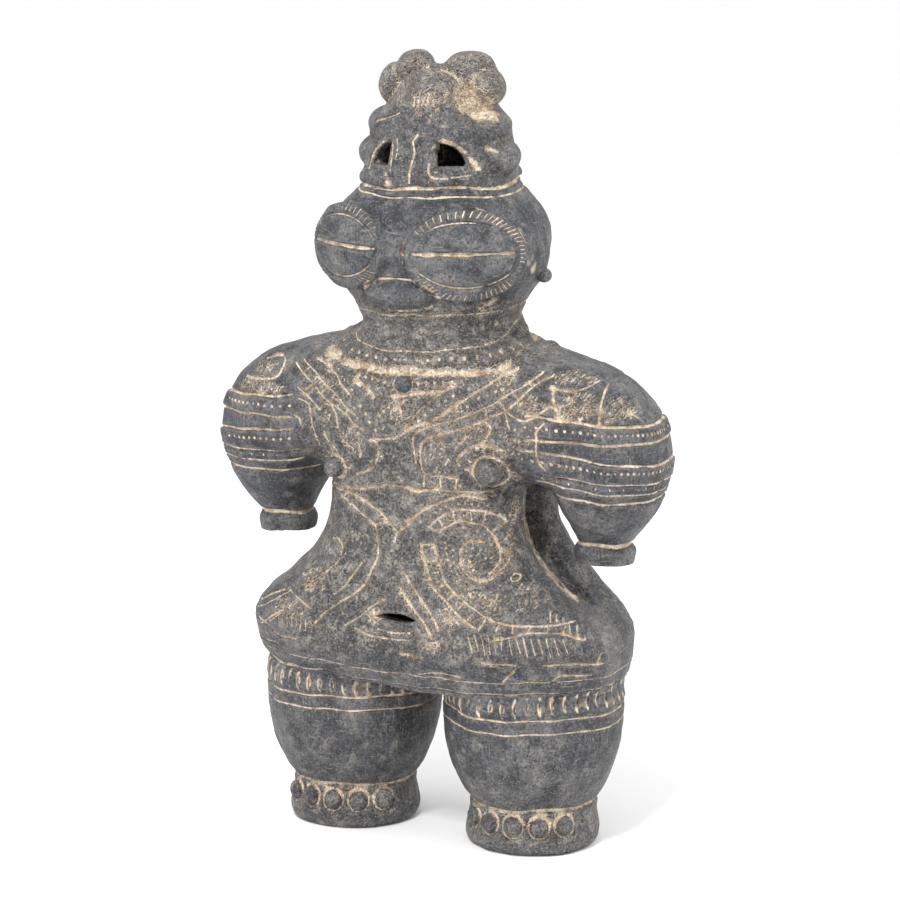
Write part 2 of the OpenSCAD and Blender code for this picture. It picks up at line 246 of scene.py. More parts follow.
# Crown lumps on both sides: centre, radii, fillet
SIDE_LUMPS = [
    ((30.8, -3, 315), (8, 13, 8), 3),
    ((25.5, -3, 328.5), (8, 13, 7), 3),
    ((15, -18, 328), (9, 8, 5), 5),
    ((15, 16, 328), (9, 8, 5), 5),
    ((15.5, -32, 305.5), (5, 4.5, 4.8), 1.5),
    ((15.5, 27, 305.5), (5, 4.5, 4.8), 1.5),
    ((23.5, -24, 305.5), (6, 5, 4.5), 2),
    ((23.5, 20, 305.5), (6, 5, 4.5), 2),
]
for (x, y, z), radii, fillet in SIDE_LUMPS:
    for side in (-1, 1):
        add(crown, (side * x, y, z), radii, k=fillet)
# The uneven lumps over the top: x, z, radius in x, radius in z
TOP_LUMPS = [
    (14.5, 353, 12.5, 8.8),
    (24.5, 345.5, 6.8, 8),
    (-12.5, 353, 9.5, 8.8),
    (-23.5, 346, 6.3, 9.5),
    (0, 346.5, 13, 9.2),
]
for x, z, wide, high in TOP_LUMPS:
    add(crown, (x, -2, z), (wide, 9.5, high), k=2.6)
# Two fingers between the windows
for x in (-3.4, 8.8):
    add(crown, (x, -32, 312), (4.4, 5, 12.5), k=2)
    add(crown, (x, 27.5, 312), (4.4, 5, 12.5), k=2)
add(crown, (2, -17, 339), (16, 13, 15.5), k=3)
add(crown, (0, 13, 337), (17, 12, 14), k=2)
body = blend(body, crown, 2)

# Goggles, mouth and knobs
GOGGLE_AT, GOGGLE_TURN = (28.5, -34.0, 274.5), 27
GOGGLE_LONG, GOGGLE_HIGH, GOGGLE_DEEP = 28.2, 21.2, 8.5
# The right goggle is a little smaller and higher than the left
GOGGLE_SIZE, GOGGLE_LIFT = {1: 1.0, -1: 0.955}, {1: 0.0, -1: 1.2}
BREASTS = {1: (41, -36, 178.5, 6.4), -1: (-36.5, -36, 174, 4.8)}
for side in (-1, 1):
    at = (side * GOGGLE_AT[0], GOGGLE_AT[1], GOGGLE_AT[2] + GOGGLE_LIFT[side])
    size = GOGGLE_SIZE[side]
    add(body, at, (GOGGLE_LONG * size, GOGGLE_DEEP, GOGGLE_HIGH * size), side * GOGGLE_TURN, k=1.5)
    add(body, (side * 48, 6, 261.5), (3.8, 4, 3.6), k=1.2)
    add(body, (side * 50.5, 8, 228), (4, 4, 3.6), k=1.2)
    x, y, z, radius = BREASTS[side]
    add(body, (x, y, z), (radius, 6, radius), k=0.8)
add(body, (-1, -38.5, 255.6), (18, 8, 6.8), k=1.0)
THROAT_KNOB = (1.5, -42.0, 215.8)
add(body, THROAT_KNOB, (4.6, 3.4, 3.8), k=0.6)
HIP_KNOBS = [(-50, 94, 6), (-13, 96, 6), (28, 94, 6.2), (50, 98, 6)]
for x, z, radius in HIP_KNOBS:
    for way in (-1, 1):
        y = way * (46.5 if abs(x) < 40 else 43)
        add(body, (x, y, z), (radius, radius - 1, radius), k=3)

# Toes
TOE_ANGLES, TOE_Z = [-131, -107, -83, -59, -35], 14.0
for side in (-1, 1):
    for angle in TOE_ANGLES:
        a = math.radians(angle)
        at = (side * LEG_X + 28 * math.cos(a), 28 * math.sin(a), TOE_Z)
        wide = 4.6 + 0.5 * math.sin(3.1 * angle + side)
        add(body, at, (wide, 4.4, 4.9 + 0.3 * math.sin(angle)), k=1.0)

# Hollow of the crown, its windows, the slot and the nostril
cavity = field_of(crown_ribs[:-4], -6.0)
body = -blend(-body, cavity, 1.0)


def cut_window(body, angle, lean, foot, upright=-6.2, across=13.0, high=10.5):
    """An opening with a flat foot, one upright side and a sloping top."""
    part, (x, y, z) = around((0, 0, 316), 46)
    a = math.radians(angle)
    u = (x * math.cos(a) + y * math.sin(a)) * lean
    w = x * math.sin(a) - y * math.cos(a)
    slope = np.sqrt((np.maximum(u - upright, 0) / across) ** 2 + (np.maximum(z - foot, 0) / high) ** 2)
    opening = np.maximum(np.maximum(upright - u, foot - z), (slope - 1) * high)
    opening = np.maximum(opening, 12 - w)
    body[part] = -blend(-body[part], opening, 1.2)


cut_window(body, 33, 1, -3.6)
cut_window(body, -25, -1, -3.8, -4.8, 11.2, 9.8)
cut_window(body, 225, 1, -3.0)
cut_window(body, 135, -1, -3.0)
cut(body, (21, -18, 343), (6.2, 9, 9.5), k=0.8)
cut(body, (28, -15, 336.5), (9.5, 8.5, 4.8), k=0.8)
add(body, (26, -6, 347), (6.4, 8, 7), k=1.2)
for side in (-1, 1):
    cut(body, (side * 34, -14, 321.5), (3.5, 6, 2.8), k=2)
cut(body, (17.5, -16, 347.5), (1.2, 6, 1.2), k=0.3)
cut(body, (2.6, -47, 275.3), (1.7, 11, 2.0), k=0.3)


def cut_slot(body):
    """The eye-shaped slot: the space between two arcs."""
    part, (x, y, z) = around((0, -38, 109), 24)
    lower = np.sqrt(x**2 + (z + 18.5) ** 2) - 21.5
    upper = np.sqrt(x**2 + (z - 28.2) ** 2) - 29.6
    opening = np.maximum(np.maximum(lower, upper), y - 12)
    body[part] = -blend(-body[part], opening, 0.5)


cut(body, (0, -24, 109), (26, 16, 16), k=1)
cut_slot(body)


# ---- From the field to a mesh ----------------------------------------------
def mesh_of(body):
    grid = vdb.FloatGrid(float(BAND * VOXEL))
    grid.copyFromArray(np.ascontiguousarray(body, np.float32), tolerance=0.0)
    points, _, quads = grid.convertToPolygons(0.0, 0.0)
    return points.astype(float) * VOXEL + LOW, quads.astype(np.int64)


def corner_normals(points, quads):
    a = points[quads[:, 2]] - points[quads[:, 0]]
    b = points[quads[:, 3]] - points[quads[:, 1]]
    return np.cross(a, b)


def vertex_normals(points, quads):
    face = corner_normals(points, quads)
    out = np.zeros_like(points)
    for i in range(3):
        for k in range(4):
            out[:, i] += np.bincount(quads[:, k], face[:, i], len(points))
    return out / np.maximum(np.linalg.norm(out, axis=1, keepdims=True), 1e-9)


points, quads = mesh_of(body)
if (corner_normals(points, quads) * points[quads[:, 0]]).sum() < 0:
    quads = quads[:, ::-1]


# ---- Incised pattern ---------------------------------------------------------
def fall(t):
    """1 at the middle of a stroke, 0 beyond its edge."""
    t = np.clip(t, 0, 1)
    return 1 - t * t * (3 - 2 * t)


# Size of a canvas, and the height above which it marks the figure
WIDE, HIGH, PATTERN_FOOT = 232, 364, 84


class Canvas:
    """A front or back view of the figure: depth, raised height, slip and roughness by spot."""

    STEP = 0.25
    X0, Z0 = -116.0, 0.0
    GROOVE_WIDER, GROOVE_DEEPER = 1.35, 1.8
    BURR = 0.3
    CROWDING = 1.5
    LAYERS = ("depth", "raised", "slip", "rough", "near")

    def __init__(self):
        self.shape = (int(WIDE / self.STEP), int(HIGH / self.STEP))
        for name in self.LAYERS:
            setattr(self, name, np.zeros(self.shape, np.float32))

    def mirrored(self):
        other = Canvas()
        for name in self.LAYERS:
            setattr(other, name, getattr(self, name)[::-1].copy())
        return other

    def window(self, x, z, reach):
        i = max(int((x - reach - self.X0) / self.STEP), 0)
        j = max(int((z - reach - self.Z0) / self.STEP), 0)
        size = int(2 * reach / self.STEP) + 2
        part = (slice(i, min(i + size, self.shape[0])), slice(j, min(j + size, self.shape[1])))
        gx = self.X0 + self.STEP * np.arange(part[0].start, part[0].stop)[:, None]
        gz = self.Z0 + self.STEP * np.arange(part[1].start, part[1].stop)[None, :]
        return part, gx, gz

    def press(self, part, d, radius, depth, slip):
        """Marks the spots at distance d from a dot or a line."""
        self.depth[part] = np.maximum(self.depth[part], depth * fall(d / radius / 1.2))
        self.slip[part] = np.maximum(self.slip[part], slip * fall(d / radius / 1.2))
        if slip > 0.5:
            burr = self.BURR * fall(np.abs(d - 1.5 * radius) / 0.8)
            self.raised[part] = np.maximum(self.raised[part], burr)
        self.near[part] = np.maximum(self.near[part], d < radius + 0.5)

    def dot(self, x, z, radius=1.05, depth=0.9, slip=1.0):
        part, gx, gz = self.window(x, z, 1.5 * radius + 0.9)
        self.press(part, np.sqrt((gx - x) ** 2 + (gz - z) ** 2), radius, depth, slip)

    def hole(self, x, z, radius=1.1, slip=1.0):
        """A dark pin hole with slip round its edge."""
        part, gx, gz = self.window(x, z, radius + 2.0)
        d = np.sqrt((gx - x) ** 2 + (gz - z) ** 2)
        self.press(part, np.abs(d - radius - 0.5), 0.5, 0.0, slip)
        self.press(part, d, radius, 2.2, 0.0)

    def spans(self, control, reach):
        """The window and the distance to each short span of a curve."""
        p = catmull(control, 12)
        for a, b in zip(p[:-1], p[1:]):
            length = math.hypot(*(b - a))
            if length > 1e-6:
                part, gx, gz = self.window(*((a + b) / 2), length / 2 + reach)
                t = ((gx - a[0]) * (b[0] - a[0]) + (gz - a[1]) * (b[1] - a[1])) / length**2
                t = np.clip(t, 0, 1)
                d = np.sqrt((gx - a[0] - t * (b[0] - a[0])) ** 2 + (gz - a[1] - t * (b[1] - a[1])) ** 2)
                yield part, d

    def stroke(self, control, width=1.1, depth=0.6, slip=0.9):
        """An incised line through the control points."""
        radius = self.GROOVE_WIDER * width / 2
        for part, d in self.spans(control, 1.5 * radius + 0.9):
            self.press(part, d, radius, self.GROOVE_DEEPER * depth, slip)

    def ridge(self, control, width, height):
        """A raised strap along the control points."""
        for part, d in self.spans(control, width / 2 + 1.5):
            strap = height * fall((d - width / 2 + 0.9) / 1.5)
            self.raised[part] = np.maximum(self.raised[part], strap)

    def dots(self, control, gap=3.6, **kind):
        """Punched dots at even steps along a curve."""
        p = catmull(control, 12)
        run = np.concatenate([[0], np.cumsum(np.linalg.norm(np.diff(p, axis=0), axis=1))])
        for s in np.arange(gap / 3, run[-1], gap):
            self.dot(np.interp(s, run, p[:, 0]), np.interp(s, run, p[:, 1]), **kind)

    def rungs(self, pairs, width=0.9, slip=0.85):
        for x0, z0, x1, z1 in pairs:
            self.stroke([(x0, z0), (x1, z1)], width, 0.5, slip)

    def pitted(self, x, z, wide, high, count, seed, lean=0.5):
        """A patch of small pricks and short dashes on roughened clay."""
        part, gx, gz = self.window(x, z, max(wide, high) + 2)
        inside = np.sqrt(((gx - x) / wide) ** 2 + ((gz - z) / high) ** 2)
        self.rough[part] = np.maximum(self.rough[part], fall((inside - 0.75) / 0.45))
        self.near[part] = np.maximum(self.near[part], inside < 1.05)
        rng = np.random.default_rng(seed)
        count = int(self.CROWDING * count)
        for turn, share in zip(rng.uniform(0, 2 * math.pi, count), rng.uniform(0, 1, count)):
            px = x + wide * math.sqrt(share) * math.cos(turn)
            pz = z + high * math.sqrt(share) * math.sin(turn)
            reach = rng.uniform(0.1, 0.7)
            ends = [(px - reach * lean, pz - reach), (px + reach * lean, pz + reach)]
            self.stroke(ends, rng.uniform(0.7, 1.1), rng.uniform(0.2, 0.7), rng.uniform(0.0, 0.8))

    def at(self, array, x, z):
        u = np.clip((x - self.X0) / self.STEP, 0, self.shape[0] - 1.001)
        v = np.clip((z - self.Z0) / self.STEP, 0, self.shape[1] - 1.001)
        i, j = u.astype(int), v.astype(int)
        u, v = u - i, v - j
        low = array[i, j] * (1 - u) + array[i + 1, j] * u
        high = array[i, j + 1] * (1 - u) + array[i + 1, j + 1] * u
        return low * (1 - v) + high * v


def blurred(array, reach):
    """Mean over a square of the given half width in steps, twice."""
    for _ in range(2):
        for axis in (0, 1):
            total = np.cumsum(array, axis, dtype=float)
            array = (np.roll(total, -reach, axis) - np.roll(total, reach, axis)) / (2 * reach)
            array = np.clip(array, 0, 1)
    return array


front = Canvas()
stroke, dots, rungs, pitted = front.stroke, front.dots, front.rungs, front.pitted
dot, hole, ridge = front.dot, front.hole, front.ridge

# Lapels and collar, as (x, z)
ridge([(2, 194), (12, 202), (20, 208), (29, 214), (37, 219), (46, 224)], 6.5, 1.0)
ridge(
    [(-42, 221), (-22, 217.5), (-8, 216), (2, 215.5), (12, 216), (24, 218), (38, 221.5), (46, 226)],
    4.6, 0.9,
)
stroke([(0, 193), (5, 198), (9, 203), (15, 209), (20, 213), (27, 217)], 0.9, 0.8, 0.4)
stroke([(1, 192.5), (7, 197), (17, 201), (27, 208), (36, 214.5), (44, 220.5), (50, 224)], 1.8, 0.7, 0.85)
dots([(10, 199.5), (14, 203.5), (18.5, 207), (23, 210), (28, 214)], 3.9)
dots([(-22, 218), (-17, 217.2), (-12, 216.6), (-6, 216)], 3.4)
dots([(8, 216.3), (14, 216.8), (20, 217.3), (25, 218)], 3.9)
dots([(36, 221), (39, 222.4), (42, 224.5), (46, 227)], 2.9)
dots([(-46, 224), (-41, 222), (-36, 220)], 3.4)
stroke([(-3, 210), (4, 211.5), (12, 213), (20, 214.5), (26, 217)], 2.6, 0.8, 0.95)
stroke([(-23, 215.5), (-18, 213), (-13.5, 209)], 3.4, 0.7, 0.9)
stroke([(-16, 189), (-10, 190), (-4, 191), (0, 192.5)], 1.2, 0.6, 0.9)
hole(23.5, 223, 0.6)

# Ladder, panel and curls on the left of the chest
LEFT_LADDER = [
    [(18, 199), (30, 203), (41, 208), (46, 211), (51, 215), (56, 218), (61, 223)],
    [(20, 195), (30, 198), (40, 202), (43, 204), (50, 207), (56, 213), (61, 219), (66, 222)],
]
for line in LEFT_LADDER:
    stroke(line, 1.3, 0.7, 0.95)
rungs([(20, 199, 20, 195), (41, 208, 42, 203), (47, 211, 50, 207), (51, 216, 55, 212), (57, 220, 60, 217)])
for x, z in ((28, 206), (33, 208), (37, 212), (41, 213), (40, 216.5), (47, 216), (49, 218.5), (44, 215)):
    dot(x, z)
stroke([(40, 202), (43, 200), (43, 197), (41, 194), (37, 191), (30, 187)], 1.2)
stroke([(28, 181), (28, 184), (33, 189), (39, 191), (45, 190), (50, 187)], 2.1, 0.7, 1.0)
stroke([(18, 199), (11, 196), (7, 192), (7, 186), (8, 181)], 1.6, 0.5, 0.5)
stroke(
    [(20, 195), (13, 192), (11, 189), (10, 184), (11, 178), (13, 176), (19, 175.5), (27, 175)],
    1.3, 0.8, 0.95,
)
rungs([(12, 176, 12, 170), (19.5, 175, 20, 170), (26.5, 175, 26.5, 170)])
stroke([(32, 197), (32, 194), (28, 190), (27, 188)], 1.3)
stroke([(21, 191.5), (22, 189.5), (24.5, 189)], 1.1)
hole(25, 179.5, 0.6, 0.3)
pitted(18, 184, 6.5, 7, 26, 1)
pitted(37, 197, 4.5, 3.5, 9, 2)
pitted(56, 193, 6, 7, 14, 3)

# Left shoulder
stroke([(68, 202.5), (65, 199), (64.5, 194), (64, 189), (65, 184), (67, 181)], 1.2)
stroke([(50, 207), (53, 205), (58, 203), (62, 204), (66, 207), (71, 211)], 1.2)
stroke([(68, 218), (71, 211), (74, 205.5)], 1.9, 0.7, 1.0)
stroke([(50, 206), (52, 199)], 0.9)
stroke([(67, 217.5), (75, 216), (81, 217), (85, 220)], 1.3)
stroke([(88, 218.5), (89, 215), (90, 209), (91, 203)], 1.2)
stroke([(98, 208), (102, 205.5), (105, 202.5)], 1.0)
pitted(81, 209.5, 8, 5.8, 70, 4)
pitted(97, 208.5, 6, 5.5, 44, 5)
pitted(77, 221.5, 10, 3.2, 26, 6)
pitted(60, 210, 7, 4.6, 26, 7)

# Ladder, curls and cloud on the right of the chest and shoulder
RIGHT_LADDER = [
    [(-57, 220.5), (-49, 217), (-41, 212), (-34, 208), (-29, 204), (-21, 199)],
    [(-61, 219), (-54, 215), (-47, 211), (-42, 207), (-37, 204), (-28, 200), (-23, 195.5), (-16, 193)],
]
for line in RIGHT_LADDER:
    stroke(line, 1.1, 0.6, 0.8)
rungs([(-55, 215, -52, 218), (-48, 212, -46, 214.5), (-42, 208, -39, 211), (-37, 204, -35, 208)])
rungs([(-33, 202, -31, 205), (-28, 200, -26, 202.5), (-23, 196, -21, 199)])
stroke([(-51, 209), (-46, 213)], 1.7, 0.7, 0.9)
stroke([(-51, 222), (-41, 220), (-35, 216), (-32, 213), (-29, 211), (-25, 208)], 1.7, 0.6, 0.8)
for x, z in ((-25, 211), (-23, 207.5), (-23, 203), (-20, 204.5), (-17, 201), (-15, 197.5), (-12, 194)):
    dot(x, z)
for x, z in ((-10, 186), (-9, 182), (-34, 219), (-38, 217), (-30, 215), (-45, 221)):
    dot(x, z, 0.8, 0.5, 0.8)
stroke([(-56, 209), (-50, 206), (-45, 202), (-43, 200.5), (-41, 203), (-37, 203), (-34, 200)], 1.2)
stroke([(-34, 200), (-33, 196), (-32.5, 191), (-29, 186.5), (-25, 184)], 1.2, 0.6, 0.8)
stroke([(-54, 204), (-49, 202), (-48, 196), (-47, 189), (-46, 183)], 1.4, 0.6, 0.8)
stroke([(-41, 190), (-40, 186), (-36, 183)], 1.2)
stroke([(-16, 189), (-12.5, 189), (-11, 185), (-12, 180), (-16, 175.5), (-23, 172.5)], 1.1)
stroke([(-57, 196), (-54.5, 195), (-53.5, 191)], 1.3)
stroke(
    [(-81, 218), (-75, 220.5), (-70, 220), (-68, 217), (-69, 213), (-74, 211), (-81, 210), (-90, 210)],
    1.5,
)
stroke([(-77, 216), (-72, 217.5)], 1.0)
pitted(-80, 214.5, 8, 2.6, 26, 8)
pitted(-78, 207, 16, 2.8, 60, 9)
pitted(-24, 188, 7, 8, 34, 10)
pitted(-39, 196, 3.5, 4, 10, 11)
pitted(-4, 200, 9, 6, 16, 12)
pitted(-40, 213, 5, 5, 12, 13)

# Waist and the two arcs that meet over the belly
stroke([(-41, 164.5), (-23, 166.2), (-13, 168), (-4, 169.8), (4, 169)], 1.2, 0.8, 0.9)
stroke([(3, 169.5), (8, 168), (14, 168.8), (18, 169.4)], 2.2, 0.8, 0.95)
stroke([(18, 169.4), (27, 169), (41, 168.5)], 1.0, 0.7, 0.6)
stroke([(-39, 163), (-29, 163.4), (-22, 162.5), (-16, 160), (-9, 157), (-5, 153), (0, 149)], 1.4, 0.8, 0.95)
stroke([(0, 149), (4, 152), (8, 156.5), (14, 161), (24, 165.5), (31, 167), (38, 165.5)], 1.7, 0.8, 1.0)
stroke([(0, 149), (-1, 144.5)], 1.1)

# Left hip: the spiral inside its ladder
dots([(11, 154), (18, 159), (23, 162.3), (30, 163.7), (38, 162.2)], 2.7, radius=0.75, slip=0.8)
stroke([(16, 153), (20, 157), (25, 160), (30, 161), (35, 160.5), (39, 160), (44, 157.5)], 1.3)
stroke([(20, 151), (25, 154), (29, 156), (34, 155), (38, 154), (41, 151), (43, 148), (45, 144)], 1.3)
stroke([(45, 144), (46, 139), (45, 136), (43, 133)], 1.2)
rungs(
    [(15.5, 152.5, 20, 151), (20, 157, 22, 152.5), (26, 160, 27, 155), (33, 161, 34, 155),
     (39, 160, 38, 154)],
)
stroke([(44, 157.5), (45.5, 155), (42, 151.5)], 1.0)
stroke(
    [(39, 146.5), (34, 147), (31, 145), (30, 141), (31, 136), (34, 132), (38, 130), (42, 130),
     (45, 132), (47, 135), (49, 138), (48, 142)],
    1.8, 0.9, 1.0,
)
stroke([(45, 144), (48, 142)], 0.9)
stroke(
    [(12, 144.5), (13, 139), (16, 131), (19, 125), (24, 120.5), (30, 115), (35, 111.5), (39, 109)],
    2.0, 0.9, 1.0,
)
stroke([(18, 145), (20, 139), (22, 133), (25, 127.5), (31, 122), (37, 118), (43, 114.5)], 1.5, 0.8, 1.0)
stroke([(43, 114.5), (50, 112), (56, 111), (64, 111), (72, 111.2), (78, 112)], 1.4, 0.7, 0.95)
rungs([(12.5, 144.5, 18, 145), (14, 137, 20.5, 138), (16, 131.5, 22, 133), (20, 125, 25, 128)], 1.1, 0.9)
rungs([(25, 120, 29, 124), (30, 115.5, 33.5, 120), (35, 111.5, 39, 117), (41, 108.5, 44, 114)], 1.1, 0.9)
rungs(
    [(50, 112, 49, 108.5), (56, 111, 56, 108), (63, 111, 63, 108), (70, 111, 70, 108),
     (76, 111, 76, 107.5)],
)
stroke([(48, 104.5), (56, 106), (62, 108), (71, 108), (77, 107), (83, 104)], 1.1)
dots([(23, 147), (25, 138), (29, 130), (36, 123.5), (44, 119.5), (52, 117)], 2.6, radius=0.8, slip=0.9)
dots([(27, 144), (28, 135), (33, 127.5), (40, 123.5), (48, 121.5)], 2.8, radius=0.8, slip=0.75)
dots([(25, 150), (29, 153), (35, 152), (40, 149), (42.5, 143), (42.5, 137)], 2.9, radius=0.8, slip=0.85)
for x, z in ((35, 144), (38, 143), (37, 138), (34, 136), (40.5, 139.5), (36, 134.5)):
    dot(x, z, 0.8, 0.5, 0.8)
hole(53, 131)
pitted(35, 140, 4, 4, 8, 14)
pitted(41, 121, 12, 4, 30, 15)
pitted(60, 124, 7, 8, 14, 16)
pitted(49, 152, 4, 8, 14, 17)

# Left hem: hatching and loose lines
for i in range(14):
    x = 36 + 3.1 * i
    stroke([(x, 106.4 - 0.1 * i), (x + 2.4, 98.5 + 0.8 * math.sin(2.1 * i))], 0.8, 0.5, 0.65)
for i in range(6):
    stroke([(69 + 2.6 * i, 117 - 1.7 * i), (70.5 + 2.6 * i, 112.5 - 1.7 * i)], 0.8, 0.5, 0.65)
stroke([(3, 94), (8, 94), (14, 92)], 1.0)
stroke([(12, 85), (22, 86.5), (33, 85.5)], 1.0, 0.5, 0.8)
stroke([(40, 93.8), (58, 93.3)], 1.1)
stroke([(70, 93.4), (81, 94), (89, 92)], 1.2)
stroke([(88, 93), (89, 98)], 1.0)
stroke([(73, 86), (77, 88.7), (86, 87.5)], 1.2)
stroke([(57, 90.5), (52, 85)], 1.2)

# Right hip: the long arc, its small swirl and hatching
stroke([(-33, 160.5), (-25, 158), (-19, 155), (-12, 151), (-10, 144), (-10, 136), (-13, 130)], 1.3)
stroke([(-13, 130), (-16, 124), (-21, 119), (-30, 113), (-37, 108), (-45, 100)], 1.4, 0.7, 0.95)
stroke([(-12, 151), (-8, 152.3), (-5, 153)], 1.0)
stroke([(-37, 141), (-33, 141.5), (-30, 138), (-32, 132), (-36, 128), (-39, 125)], 1.4, 0.7, 0.95)
stroke([(-18, 133), (-22, 128), (-26, 122), (-32, 117)], 1.0, 0.5, 0.7)
dots([(-20, 148), (-16, 140), (-17, 134)], 2.8, radius=0.7, slip=0.6)
stroke([(-82, 105), (-73, 110), (-64, 114)], 1.2)
stroke([(-77, 96), (-67, 103), (-60, 107), (-54, 112)], 1.1)
stroke([(-72, 98), (-62, 105), (-54, 110.5)], 0.9, 0.5, 0.7)
stroke([(-84, 101), (-72, 107), (-60, 114)], 0.9, 0.5, 0.7)
stroke([(-60, 114.5), (-49, 110), (-44, 108)], 1.0)
stroke([(-80, 98), (-71, 96), (-69, 94.5), (-63, 92.5), (-52, 94)], 1.2)
stroke([(-80, 88), (-66, 88)], 1.0)
for i in range(8):
    stroke([(-66 + 3.0 * i, 103.5), (-65 + 3.0 * i, 98.5)], 0.8, 0.5, 0.7)
pitted(-45, 122, 9, 6, 55, 18, 1.2)
pitted(-59, 107, 9, 5, 30, 19, 1.2)
pitted(-24, 142, 6, 8, 12, 20)

# The triangle about the slot
stroke([(-5, 118), (-12, 114), (-16, 110), (-25, 104)], 1.1, 0.6, 0.8)
stroke([(2, 124), (5, 120), (9, 115), (14, 110), (19, 103)], 1.8, 0.9, 0.95)
stroke([(4, 131), (9, 124), (14, 118), (19, 112), (22, 107)], 1.8, 0.8, 0.85)
stroke([(-20, 103), (-8, 100.5), (8, 100.5)], 1.0, 0.5, 0.6)
stroke([(-8, 104), (0, 103.2), (8, 104)], 1.4, 0.3, 0.6)

# Crown: rims of the windows, the groove between the fingers, dashes on the front lump
stroke([(12, 321), (15, 323.5), (20, 321.5), (26, 315), (28.5, 311)], 2.4, 0.3, 0.9)
stroke([(12, 321), (11.5, 315), (12, 308.5), (20, 307.8), (28, 309)], 1.4, 0.3, 0.7)
stroke([(-23, 310), (-19, 318), (-13, 322.5), (-9, 322)], 1.4, 0.3, 0.8)
stroke([(-8.5, 322), (-8, 316), (-8.5, 310)], 0.9, 0.4, 0.8)
stroke([(-6, 324), (-4.5, 320), (-5, 315)], 0.8, 0.4, 0.6)
stroke([(4.5, 326), (2.5, 323), (3.2, 318), (2, 312), (1, 305)], 1.2, 0.5, 0.8)
stroke([(-20, 331), (-13, 333), (-7, 335)], 1.4, 0.4, 0.6)
for i in range(7):
    x = 1 + 2.1 * i
    stroke([(x, 338 + 0.4 * i), (x + 0.6, 343.5 + 1.2 * math.sin(2.3 * i))], 0.8, 0.4, 0.8)
pitted(6, 337.5, 6, 4, 12, 21)

# The lines are fainter on the right hip
RIGHT_HIP_EDGE, RIGHT_HIP_TOP, FAINTNESS = -12, 150, 0.7
across, up_to = int((RIGHT_HIP_EDGE - Canvas.X0) / Canvas.STEP), int(RIGHT_HIP_TOP / Canvas.STEP)
front.slip[:across, :up_to] *= FAINTNESS

# Dust lies thicker where the pattern is close
front.rough = np.maximum(front.rough, np.clip(2.2 * blurred(front.slip, 14), 0, 0.8))
back = front.mirrored()

# ---- Rings that run round a piece --------------------------------------------
# Each: piece, height, slope in x, slope in y, width, depth, slip
RINGS = [
    ("neck", 222.2, 0, 0.22, 4.4, 1.6, 1.3),
    ("neck", 230.6, 0, 0.22, 0.9, 0.4, 0.55),
    ("neck", 246.0, 0, 0.06, 1.6, 0.7, 0.6),
    ("head", 302.2, 0, 0.03, 1.8, 1.0, 0.95),
    ("head", 299.2, 0, 0.03, 1.3, 0.8, 0.85),
    ("arm", 205.8, -0.09, 0, 2.0, 1.1, 1.1),
    ("arm", 194.6, -0.02, 0, 1.8, 1.0, 1.0),
    ("arm", 190.2, -0.12, 0, 1.7, 1.0, 1.0),
    ("arm", 178.2, -0.05, 0, 1.4, 0.8, 0.85),
    ("arm", 173.6, -0.05, 0, 1.3, 0.8, 0.8),
    ("arm", 167.8, -0.02, 0, 1.8, 0.9, 1.05),
    ("arm", 144.4, 0, 0, 2.2, 1.0, 0.95),
    ("leg", 66.4, 0, 0, 1.4, 0.8, 0.9),
    ("leg", 60.2, 0, 0, 1.2, 0.6, 0.8),
    ("leg", 78.6, 0.02, 0, 1.4, 0.9, 0.6),
    ("foot", 20.6, 0, 0, 2.8, 1.4, 0.85),
    ("hem", 84.5, 0.01, 0, 1.0, 0.5, 0.5),
]
# Each raised strap: piece, height, slope in x, slope in y, half width, rise
STRAPS = [
    ("neck", 226.6, 0, 0.22, 2.3, 0.9),
    ("arm", 200.4, -0.06, 0, 3.6, 1.1),
    ("arm", 184.2, -0.09, 0, 4.6, 1.0),
    ("arm", 176.2, -0.05, 0, 1.2, 0.5),
    ("arm", 172.4, -0.03, 0, 1.2, 0.5),
    ("leg", 72.6, 0, 0, 3.6, 0.7),
]
# Each: piece, height, slope in x, slope in y, gap in degrees, radius, depth, slip, tallness
DOT_RINGS = [
    ("neck", 226.8, 0, 0.22, 7.4, 1.1, 0.9, 1.0, 1.0),
    ("arm", 200.6, -0.06, 0, 5.6, 1.15, 0.9, 1.0, 1.0),
    ("arm", 185.4, -0.09, 0, 5.6, 1.15, 0.9, 0.9, 1.0),
    ("arm", 176.0, -0.05, 0, 12.0, 0.7, 0.6, 0.7, 2.0),
    ("leg", 72.4, 0.05, 0, 8.0, 0.8, 2.4, 0.0, 2.8),
]


# A distance out of reach of every mark
FAR = 99


def centre_of(piece, p):
    """Middle of the ring-shaped piece each point belongs to, in x."""
    side = np.sign(p[:, 0])
    offset = {"arm": ARM_MIDDLE, "leg": LEG_X}.get(piece, 0)
    return side * offset


def on_arm(p):
    x, z = np.abs(p[:, 0]), p[:, 2]
    return (x > 56) & (z > 131) & (x > 64.5 - 0.25 * (z - 138))


def within(piece, p):
    x, z = np.abs(p[:, 0]), p[:, 2]
    return {
        "neck": (z > 205) & (x < 46) & (z < 252),
        "head": z > 285,
        "arm": on_arm(p),
        "leg": (z > 24) & (z < 80),
        "foot": z < 26,
        "hem": (z > 76) & (z < 92),
    }[piece]


def level_offset(piece, p, z0, sx, sy):
    """How far each point is above a ring, and out of reach where the ring isn't."""
    t = p[:, 2] - z0 - sx * (np.abs(p[:, 0]) - ARM_X) - sy * (p[:, 1] + 38)
    return np.where(within(piece, p), t, FAR)


